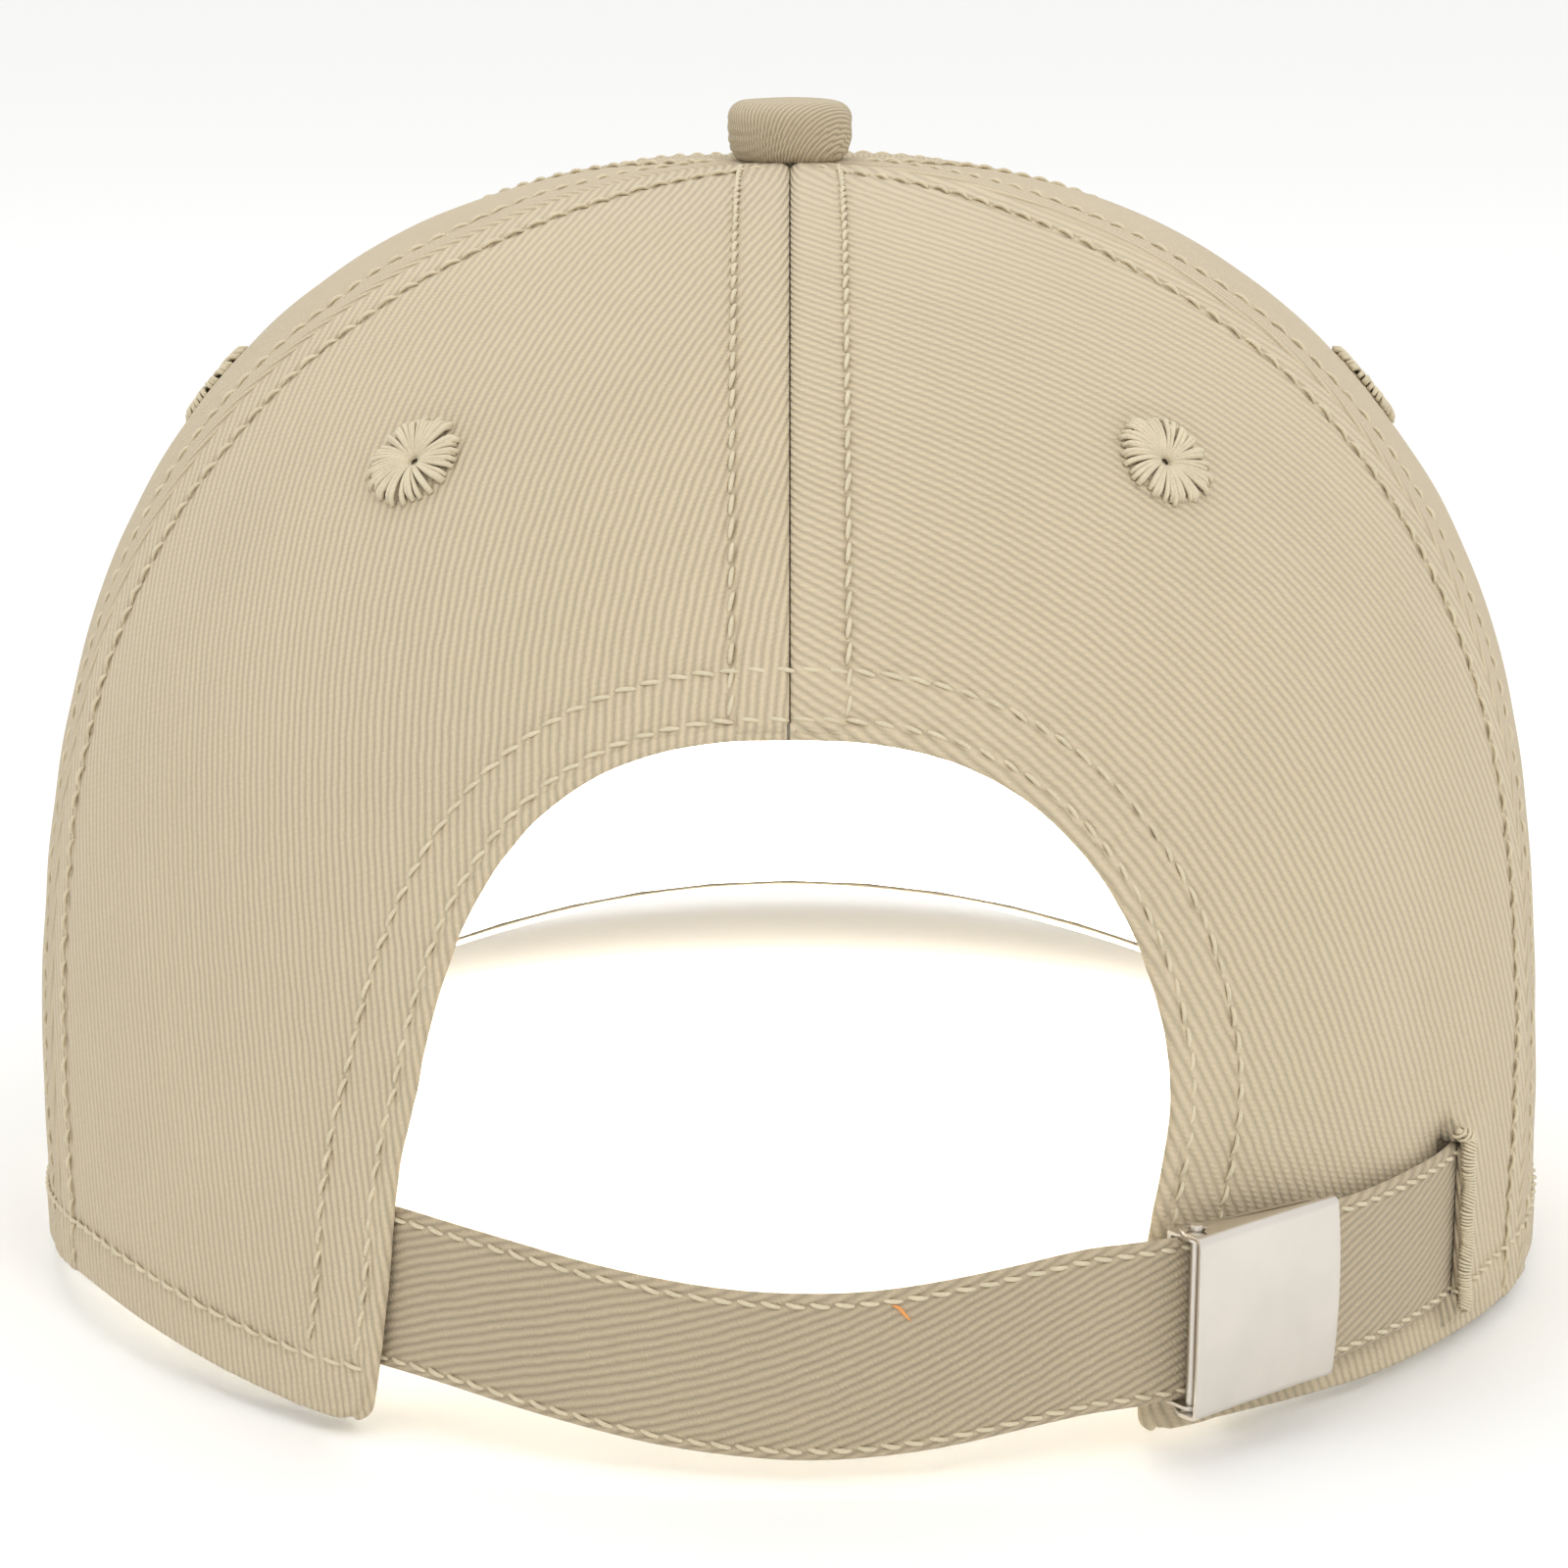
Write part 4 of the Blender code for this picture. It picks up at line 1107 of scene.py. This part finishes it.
def sag_at(x):
    """How far the strap's free part hangs down; the part that slides into the clasp stays straight."""
    if x > 0:
        return STRAP_SAG * max(0.0, 1 - (x / STRAP_SPAN_LEFT) ** 2) ** 2
    return STRAP_SAG * max(0.0, 1 - (x / STRAP_SPAN_RIGHT) ** 2) ** 1.6


def sagged_point(turn, up_by, out_by):
    point = strap_point(turn, up_by, out_by)
    point.z -= sag_at(point.x)
    return point


def strap_section():
    """Round the strap's cross-section: (up, out) in metres, from its lower edge up the outside."""
    half = STRAP_WIDTH / 2
    thick = STRAP_THICKNESS / 2
    outer = []
    edges = np.linspace(0.80, 1, 9)
    for s in np.concatenate([-edges[::-1], np.linspace(-0.76, 0.76, 13), edges]):
        edge = (1 - abs(s)) * half
        bulge = 1 - 0.92 * max(0.0, 1 - edge / (0.8 * MM)) ** 2
        dip = 0.22 * math.exp(-((edge - STRAP_ROW_INSET) / (0.35 * MM)) ** 2)
        outer.append((s * half, thick * (bulge - dip)))
    inner = [(up, -out) for up, out in outer[::-1]]
    return outer + inner


def strap(look, thread):
    """The strap with its folded edges, ribs that lean along it, and both rows on both sides."""
    section = strap_section()
    turns = np.linspace(STRAP_START, STRAP_END, 220)
    cosine = math.cos(STRAP_RIB_LEAN)
    sine = math.sin(STRAP_RIB_LEAN)
    verts = []
    weave = []
    for turn in turns:
        for up, out in section:
            wave = 0.10 * MM * math.sin(turn * 31) * (up / STRAP_WIDTH)
            verts.append(sagged_point(turn, up, out + wave))
            run = turn * STRAP_RADIUS
            weave.append(((up * cosine - run * sine) / (0.98 * MM), run * cosine + up * sine, 0.0))
    count = len(section)
    faces = grid_faces(len(turns), count, wrap=True)
    last = (len(turns) - 1) * count
    faces += [tuple(range(count))[::-1], tuple(range(last, last + count))]
    faces = [tuple(reversed(face)) for face in faces]
    obj = new_object("strap_cloth", verts, faces, look, "strap", weave)
    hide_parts("strap")
    source = random.Random(15)
    made = []
    row = STRAP_WIDTH / 2 - STRAP_ROW_INSET
    centre = strap_axes()[0]
    for up in (-row, row):
        for side in (1, -1):
            path = [sagged_point(turn, up, side * (STRAP_THICKNESS / 2 - 0.12 * MM))
                    for turn in np.linspace(STRAP_START + 0.01, STRAP_END - 0.01, 400)]
            away = unit(np.array([p - centre for p in path]) * np.array([1, 1, 0.0])) * side
            made += stitches(np.array(path), away, source, 2.5 * MM)
    join_strands("stitches_strap", made, thread, "strap")


def stray_thread(look):
    """A short end of orange thread caught on the strap."""
    out = STRAP_THICKNESS / 2 + 0.12 * MM
    path = [sagged_point(math.radians(4.3 + 1.5 * s), (7.4 - 1.6 * s + 0.25 * math.sin(5 * s)) * MM, out)
            for s in np.linspace(0, 1, 9)]
    up = np.tile([0.0, 1.0, 0.0], (len(path), 1))
    sizes = np.array([0.06, 0.13, 0.17, 0.2, 0.21, 0.2, 0.17, 0.12, 0.05]) * MM
    join_strands("stray_thread", [strand(path, up, sizes)], look, "strap")


def slot_stitching(look):
    """Buttonhole bars along the slot's outer lip, twisted over a cord of thread."""
    source = random.Random(16)
    made = []
    shares = np.linspace(0, 1, 60)
    heights = SLOT_LOW - 0.6 * MM + (SLOT_HIGH - SLOT_LOW + 2.4 * MM) * shares
    wander = 0.20 * MM * np.sin(shares * 21) - 1.5 * MM * smooth_step(shares, 0.93, 1.0)
    angle = SLOT_ANGLE - (0.45 * MM + wander) / (74 * MM)
    rises = rise_at_height(heights)
    flat = surface(angle, rises)
    spine = crown(angle, rises, slot_lift(flat, angle, True) + 0.25 * MM)
    up = normal(angle, rises)
    made.append(strand(spine, up, np.full(len(spine), 0.40 * MM), 8))
    along = unit(np.gradient(spine, axis=0))
    across = np.cross(along, up)
    for k in range(len(spine) - 1):
        width = source.uniform(0.70, 1.05) * MM
        turn = np.linspace(-0.2, 1.15, 8) * math.pi
        loop = spine[k] + across[k] * (np.cos(turn) * width)[:, None]
        loop = loop + up[k] * ((np.sin(turn) * 0.66 - 0.10) * MM)[:, None]
        loop = loop + along[k] * (np.linspace(-0.35, 0.55, 8) * MM)[:, None]
        made.append(strand(loop, np.tile(along[k], (8, 1)), np.full(8, 0.19 * MM), 5))
    obj = join_strands("slot_bars", made, look)
    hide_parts("strap_slot_stitching")


# ---------------------------------------------------------------- clasp

def clasp_matrix():
    """The clasp's own axes (u, w, n) in the frame's."""
    centre, left, back, _ = strap_axes()
    w = back * math.cos(CLASP_ANGLE) - left * math.sin(CLASP_ANGLE)
    u = -back * math.sin(CLASP_ANGLE) - left * math.cos(CLASP_ANGLE)
    down = u.cross(w)
    origin = centre + w * STRAP_RADIUS
    return Matrix((
        (u.x, w.x, down.x, origin.x),
        (u.y, w.y, down.y, origin.y),
        (u.z, w.z, down.z, origin.z),
        (0, 0, 0, 1),
    ))


def star_cutter(place):
    """A four-pointed star prism along the pin's axis."""
    verts = []
    for depth in (-1.5 * MM, 1.5 * MM):
        for k in range(16):
            turn = math.pi / 8 * k
            radius = (1.75 if k % 4 == 0 else 0.92 if k % 2 else 0.80) * MM
            verts.append((radius * math.cos(turn), radius * math.sin(turn), depth))
    faces = [tuple(reversed(face)) for face in grid_faces(2, 16, wrap=True)]
    faces += [tuple(range(16)), tuple(range(31, 15, -1))]
    mesh = bpy.data.meshes.new("star")
    mesh.from_pydata(verts, [], faces)
    tidy = bmesh.new()
    tidy.from_mesh(mesh)
    bmesh.ops.recalc_face_normals(tidy, faces=tidy.faces)
    tidy.to_mesh(mesh)
    tidy.free()
    cutter = bpy.data.objects.new("star", mesh)
    bpy.context.scene.collection.objects.link(cutter)
    cutter.matrix_world = place
    return cutter


def cover_profile(u):
    """Across the cover at u: (w, n) from one flange's edge over the face to the other's."""
    share = (u - COVER_LEFT) / (COVER_RIGHT - COVER_LEFT)
    face = COVER_FACE_LEFT + (COVER_FACE_RIGHT - COVER_FACE_LEFT) * share ** 0.93
    crown_height = 0.22 * MM * math.sin(math.pi * share)
    back = min(FLANGE_BACK + (face - 0.9 * MM - FLANGE_BACK) * share ** 1.15, face - 0.75 * MM)
    roll_radius = min(COVER_ROLL, (face - back) * 0.8)
    half = COVER_HALF_HEIGHT
    side = [(back, half), (back + (face - roll_radius - back) * 0.5, half), (face - roll_radius, half)]
    for k in range(1, 7):
        turn = math.pi / 2 * k / 6
        side.append((face - roll_radius * (1 - math.sin(turn)), half - roll_radius * (1 - math.cos(turn))))
    face_points = [(face + crown_height * (1 - s * s), s * (half - roll_radius))
                   for s in np.linspace(1, -1, 17)[1:-1]]
    return side + face_points + [(w, -n) for w, n in side[::-1]]


def clasp_cover(look):
    stations = np.linspace(0, 1, 36)
    verts = []
    for s in stations:
        points = cover_profile(COVER_LEFT + (COVER_RIGHT - COVER_LEFT) * s)
        for w, n in points:
            bulge = COVER_BULGE * (1 - (n / COVER_HALF_HEIGHT) ** 2)
            u = COVER_LEFT + (COVER_RIGHT - COVER_LEFT + bulge * 0.9) * s
            lean = 0.5 * MM * max(0.0, (PIN_W - w) / MM) * (1 - s) ** 8
            verts.append((u + lean, w, n))
    faces = grid_faces(len(stations), len(points))
    obj = new_object("cover_plate", verts, faces, look, "clasp_cover")
    obj.matrix_world = clasp_matrix()
    if obj.data.polygons[len(obj.data.polygons) // 2].normal.y < 0:
        obj.data.flip_normals()
    solidify(obj, COVER_SHEET)
    cutters = []
    for sign in (-1, 1):
        place = clasp_matrix() @ Matrix.Translation((PIN_U, PIN_W, sign * COVER_HALF_HEIGHT))
        cutters.append(star_cutter(place))
        cut(obj, cutters[-1])
    bevel(obj, 0.10 * MM)
    apply_modifiers(obj)
    obj.data.shade_smooth()
    obj.data.set_sharp_from_angle(angle=math.radians(40))
    remove(cutters)
    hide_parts("clasp_cover")


def cad_finish(frame, node, look, width=0.0):
    """Keeps a CAD node, with a better material and its sharp edges softened."""
    obj = frame["nodes"][node]
    obj.data.materials.clear()
    obj.data.materials.append(look)
    if width:
        bevel(obj, width)


# ---------------------------------------------------------------- inside

def layer(name, angle, rise, out, thickness, look, weave, node):
    """A cloth layer from grids of plan angle, rise and height over the crown."""
    rows, columns = angle.shape
    verts = crown(angle.ravel(), rise.ravel(), out.ravel())
    faces = [tuple(reversed(face)) for face in grid_faces(rows, columns)]
    obj = new_object(name, verts, faces, look, weave=weave.reshape(-1, 3))
    solidify(obj, thickness)
    apply_modifiers(obj)
    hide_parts(node)


def tape(seam, look, thread):
    """The tape over a seam's inside, with its own two rows."""
    top = rise_at_radius(6.4 * MM)
    foot = float(rim_height(seam_angle(seam, 0.0))) + 2 * MM
    if seam == "back":
        foot = ARCH_TOP + 12.2 * MM
    rises = np.linspace(float(rise_at_height(foot)), top, 150)
    across = np.linspace(-1, 1, 15)
    centre = seam_angle(seam, rises)
    scale = metric(centre, rises)
    half = np.minimum(6.0 * MM, HALF_WIDTH * spread_at(rises) * math.tan(math.radians(25)) - 0.3 * MM)
    angle = centre[:, None] + across[None] * (half / scale)[:, None]
    rise = np.repeat(rises[:, None], len(across), axis=1)
    flat = surface(angle, rise)
    edge = half[:, None] * (1 - np.abs(across))
    out = -LINING_DEPTH - 0.10 * MM * ripple(flat, 9 * MM, 21)
    out += 0.15 * MM * np.exp(-((edge - 1.2 * MM) / (0.5 * MM)) ** 2)
    weave = np.stack([across[None] * half[:, None], rise * MERIDIAN, 0 * rise], axis=-1)
    layer(seam + "_tape", angle, rise, out, 0.45 * MM, look, weave, "seam_tape_" + seam)
    made = []
    source = random.Random(22)
    keep = half > 2.0 * MM
    rises = rises[keep]
    for side in (-1, 1):
        row = (centre + side * np.maximum(half - 1.2 * MM, 0.5 * MM) / scale)[keep]
        path = crown(row, rises, np.full(len(rises), -1.95 * MM))
        made += stitches(path, -normal(row, rises), source)
    join_strands(seam + "_tape_stitches", made, thread)


def buckram(side, first, last, look):
    """The stiffener behind a front panel, clear of the tapes on both sides."""
    top = rise_at_radius(24 * MM)
    rows = np.linspace(0, 1, 70)[:, None]
    across = np.linspace(0, 1, 50)[None]
    rises = rows * top
    margin = 7.5 * MM / (HALF_WIDTH * spread_at(rises))
    start = seam_angle(first, rises) + margin
    stop = seam_angle(last, rises) - margin
    angle = start + (stop - start) * across
    bottom = rise_at_height(rim_height(angle) + 1.5 * MM)
    rise = bottom + (top - bottom) * rows
    flat = surface(angle, rise)
    out = -LINING_DEPTH + 0.08 * MM * ripple(flat, 25 * MM, 23)
    weave = np.stack([angle * metric(angle, rise), rise * MERIDIAN, 0 * rise], axis=-1)
    layer("buckram_mesh_" + side, angle, rise, out, 0.5 * MM, look, weave, "buckram_" + side)


def facing(look):
    """The band of cloth behind the arch's edge."""
    outline = even_steps(arch_outline(), 0.8 * MM)
    outline = outline[outline[:, 1] > 27 * MM]
    across = np.linspace(0.7 * MM, 12.0 * MM, 12)
    angle, rise = behind(outline[None] + away_from_arch(outline)[None] * across[:, None, None])
    flat = surface(angle, rise)
    out = loose_offset(flat, angle) - 1.55 * MM
    run = np.arange(len(outline)) * 0.8 * MM
    phase = (run[None] * 0.8 + across[:, None] * 0.6) / (0.9 * MM)
    weave = np.stack([phase, across[:, None] + 0 * run[None], 0 * phase], axis=-1)
    layer("facing_cloth", angle, rise, out, 0.45 * MM, look, weave, "arch_facing")


def sweatband(look, thread):
    """A padded band inside the rim, which stands further in where the strap passes behind it."""
    end = math.radians(33)
    angles = np.linspace(end, 2 * math.pi - end, 420)
    share = np.linspace(0, 1, 20)[:, None]
    from_back = np.abs(wrapped(angles))[None]
    extra = 1 - smooth_step(from_back, math.radians(62), math.radians(92))
    angle = np.repeat(angles[None], 20, axis=0)
    height = rim_height(angle) + 0.8 * MM + 30 * MM * share
    rise = rise_at_height(height)
    flat = surface(angle, rise)
    puff = 0.35 * MM * np.sin(math.pi * share) ** 0.5
    out = -(2.6 * MM + 3.3 * MM * extra) - puff - 0.22 * MM * ripple(flat, 18 * MM, 25)
    out = out - 0.25 * MM * row_dip(share, 0.9, 0.03)
    weave = np.stack([angle * HALF_WIDTH, height, 0 * height], axis=-1)
    layer("sweatband_cloth", angle, rise, out, 1.0 * MM, look, weave, "sweatband")
    source = random.Random(26)
    row = rim_height(angles) + 0.8 * MM + 27 * MM
    rises = rise_at_height(row)
    inside = -(3.75 * MM + 3.3 * MM * extra[0])
    made = stitches(crown(angles, rises, inside), -normal(angles, rises), source, 3.0 * MM)
    join_strands("stitches_sweatband", made, thread)


# ---------------------------------------------------------------- visor

def visor_reach(across):
    """The visor's length, from -1 to 1 across it."""
    return VISOR_REACH * np.maximum(0, 1 - across * across) ** VISOR_REACH_POWER


def visor_place(across, forward, lift):
    turn = across * VISOR_HALF_ANGLE
    reach = visor_reach(across)
    x = (HALF_WIDTH + VISOR_CLEARANCE) * np.sin(turn) * (1 + VISOR_FLARE * forward)
    y = -(FRONT_LENGTH + VISOR_CLEARANCE) * np.cos(turn) - reach * forward
    z = rim_height(np.pi - np.abs(turn)) - VISOR_SLOPE * reach * forward
    return np.stack([x, y, z + lift], axis=-1)


def visor_side(name, sign, look, node):
    """One cover, drawn over the board's edge to meet the other at its middle."""
    u = np.linspace(0, 1, 170)[None]
    near_edge = 1 - np.linspace(0.055, 0, 12) ** 1.15
    forward = np.concatenate([np.linspace(0, 0.94, 60), near_edge])[:, None]
    across = np.sin(math.pi / 2 * (2 * u - 1)) + 0 * forward
    forward = forward + 0 * u
    edge = (1 - forward) * visor_reach(across)
    nearest = np.minimum(edge, (1 - np.abs(across)) * 90 * MM)
    t = np.clip(1 - nearest / (1.8 * MM), 0, 1)
    swell = np.sqrt(np.maximum(1 - 0.998 * t * t, 0))
    place = visor_place(across, forward, sign * VISOR_HALF_THICKNESS * swell)
    spread = 1.3 * MM * np.sqrt(np.clip(1 - nearest / (5 * MM), 0, 1)) * smooth_step(forward, 0.0, 0.12)
    from_middle = place - np.array([0, -0.075, 0])
    place += unit(from_middle * np.array([1, 1, 0])) * spread[..., None]
    for spot in VISOR_ROWS:
        place[..., 2] += sign * 0.20 * MM * row_dip(edge, spot, 0.6 * MM)
    place[..., 2] += sign * 0.08 * MM * ripple(place, 14 * MM, 31) * swell
    phase = (place[..., 0] * 0.78 + place[..., 1] * 0.62) / (0.85 * MM)
    weave = np.stack([phase, place[..., 1] - place[..., 0], 0 * phase], axis=-1)
    faces = grid_faces(*place.shape[:2])
    obj = new_object(name, place.reshape(-1, 3), faces, look, weave=weave.reshape(-1, 3))
    if obj.data.polygons[len(obj.data.polygons) // 2].normal.z * sign < 0:
        obj.data.flip_normals()
    solidify(obj, 0.6 * MM)
    apply_modifiers(obj)
    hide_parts(node)


def visor_rows(look):
    source = random.Random(32)
    across = np.sin(np.linspace(-1, 1, 700) * math.pi / 2) * 0.975
    reach = visor_reach(across)
    made = []
    for sign in (1, -1):
        for spot in VISOR_ROWS:
            keep = reach > spot + 2.5 * MM
            forward = 1 - spot / reach[keep]
            path = visor_place(across[keep], forward, sign * (VISOR_HALF_THICKNESS - 0.10 * MM))
            up = np.tile([0.0, 0.0, float(sign)], (len(path), 1))
            made += stitches(path, up, source, 3.0 * MM)
    join_strands("stitches_visor", made, look)


# ---------------------------------------------------------------- stage

def area_light(name, place, target, size, power, colour):
    data = bpy.data.lights.new(name, "AREA")
    data.shape = "DISK"
    data.size = size
    data.energy = power
    data.color = colour
    obj = bpy.data.objects.new(name, data)
    bpy.context.scene.collection.objects.link(obj)
    obj.location = place
    direction = Vector(target) - Vector(place)
    obj.rotation_euler = direction.to_track_quat("-Z", "Y").to_euler()
    obj.visible_camera = False


def stage(floor_height):
    """A pale floor, a white surround and the lamps."""
    bpy.ops.mesh.primitive_plane_add(size=80.0, location=(0, 0, floor_height))
    floor = bpy.context.active_object
    floor.name = "floor"
    n = Nodes("pale_floor")
    n.set(Base_Color=(0.93, 0.93, 0.92, 1.0), Roughness=0.9, Specular_IOR_Level=0.1)
    floor.data.materials.append(n.material)
    world = bpy.data.worlds.new("studio")
    world.use_nodes = True
    background = world.node_tree.nodes["Background"]
    background.inputs["Color"].default_value = (1.0, 1.0, 1.0, 1.0)
    background.inputs["Strength"].default_value = 1.0
    bpy.context.scene.world = world
    for lamp in LAMPS:
        area_light(*lamp)
    bpy.context.scene.view_settings.view_transform = "Standard"


def camera():
    data = bpy.data.cameras.new("camera")
    data.lens = CAMERA_LENS
    data.sensor_width = 36.0
    data.shift_x = CAMERA_SHIFT
    data.clip_start = 0.01
    obj = bpy.data.objects.new("camera", data)
    bpy.context.scene.collection.objects.link(obj)
    away = Vector((0, math.cos(CAMERA_ELEVATION), math.sin(CAMERA_ELEVATION)))
    obj.location = Vector(CAMERA_TARGET) + away * CAMERA_DISTANCE
    obj.rotation_euler = (-away).to_track_quat("-Z", "Y").to_euler()
    bpy.context.scene.camera = obj


# ---------------------------------------------------------------- build

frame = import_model()
cad_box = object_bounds()

cloth = twill("khaki_twill", KHAKI, 1.15, 0.16 * MM)
# The strap's twill is a shaded copy of the crown's twill: painted shade.
strap_painted_shade_look = twill("khaki_twill_strap_painted_shade", STRAP_KHAKI_PAINTED_SHADE, 1.2, 0.2 * MM)
cotton_thread = thread_look("khaki_thread", THREAD)
lining = plain_weave("cotton_lining", COTTON, 0.55 * MM, 0.05 * MM)
mesh_look = plain_weave("buckram_mesh", (0.90, 0.90, 0.88), 1.1 * MM, 0.12 * MM, open_weave=True)
white_thread = thread_look("white_thread", (0.86, 0.85, 0.81))
nickel = satin_metal("satin_nickel", NICKEL, 0.34)
steel = satin_metal("button_steel", (0.62, 0.62, 0.62), 0.4)

crown_cloth(cloth)
arch_fold(cloth)
seam_rows(cotton_thread)
hem_row(cotton_thread)
arch_rows(cotton_thread)
eyelets(cotton_thread)
button(cloth)
strap(strap_painted_shade_look, cotton_thread)
stray_thread(thread_look("orange_thread", (0.80, 0.34, 0.10)))
slot_stitching(cotton_thread)
clasp_cover(nickel)
for seam_name in ("front", "back", "front_left", "front_right", "back_left", "back_right"):
    tape(seam_name, lining, white_thread)
buckram("left", "front_left", "front", mesh_look)
buckram("right", "front", "front_right", mesh_look)
facing(cloth)
sweatband(lining, white_thread)
visor_side("visor_top_cloth", 1, cloth, "visor_upper_cover")
visor_side("visor_under_cloth", -1, cloth, "visor_under_cover")
visor_rows(cotton_thread)
cad_finish(frame, "visor_board", board_look("white_board"))
cad_finish(frame, "clasp_base", nickel, 0.08 * MM)
cad_finish(frame, "clasp_pin", nickel, 0.12 * MM)
cad_finish(frame, "clasp_loop_tab", cloth, 0.1 * MM)
cad_finish(frame, "button_core", steel, 0.15 * MM)
cad_finish(frame, "button_washer", steel, 0.15 * MM)

camera()
stage(cad_box[0].z)
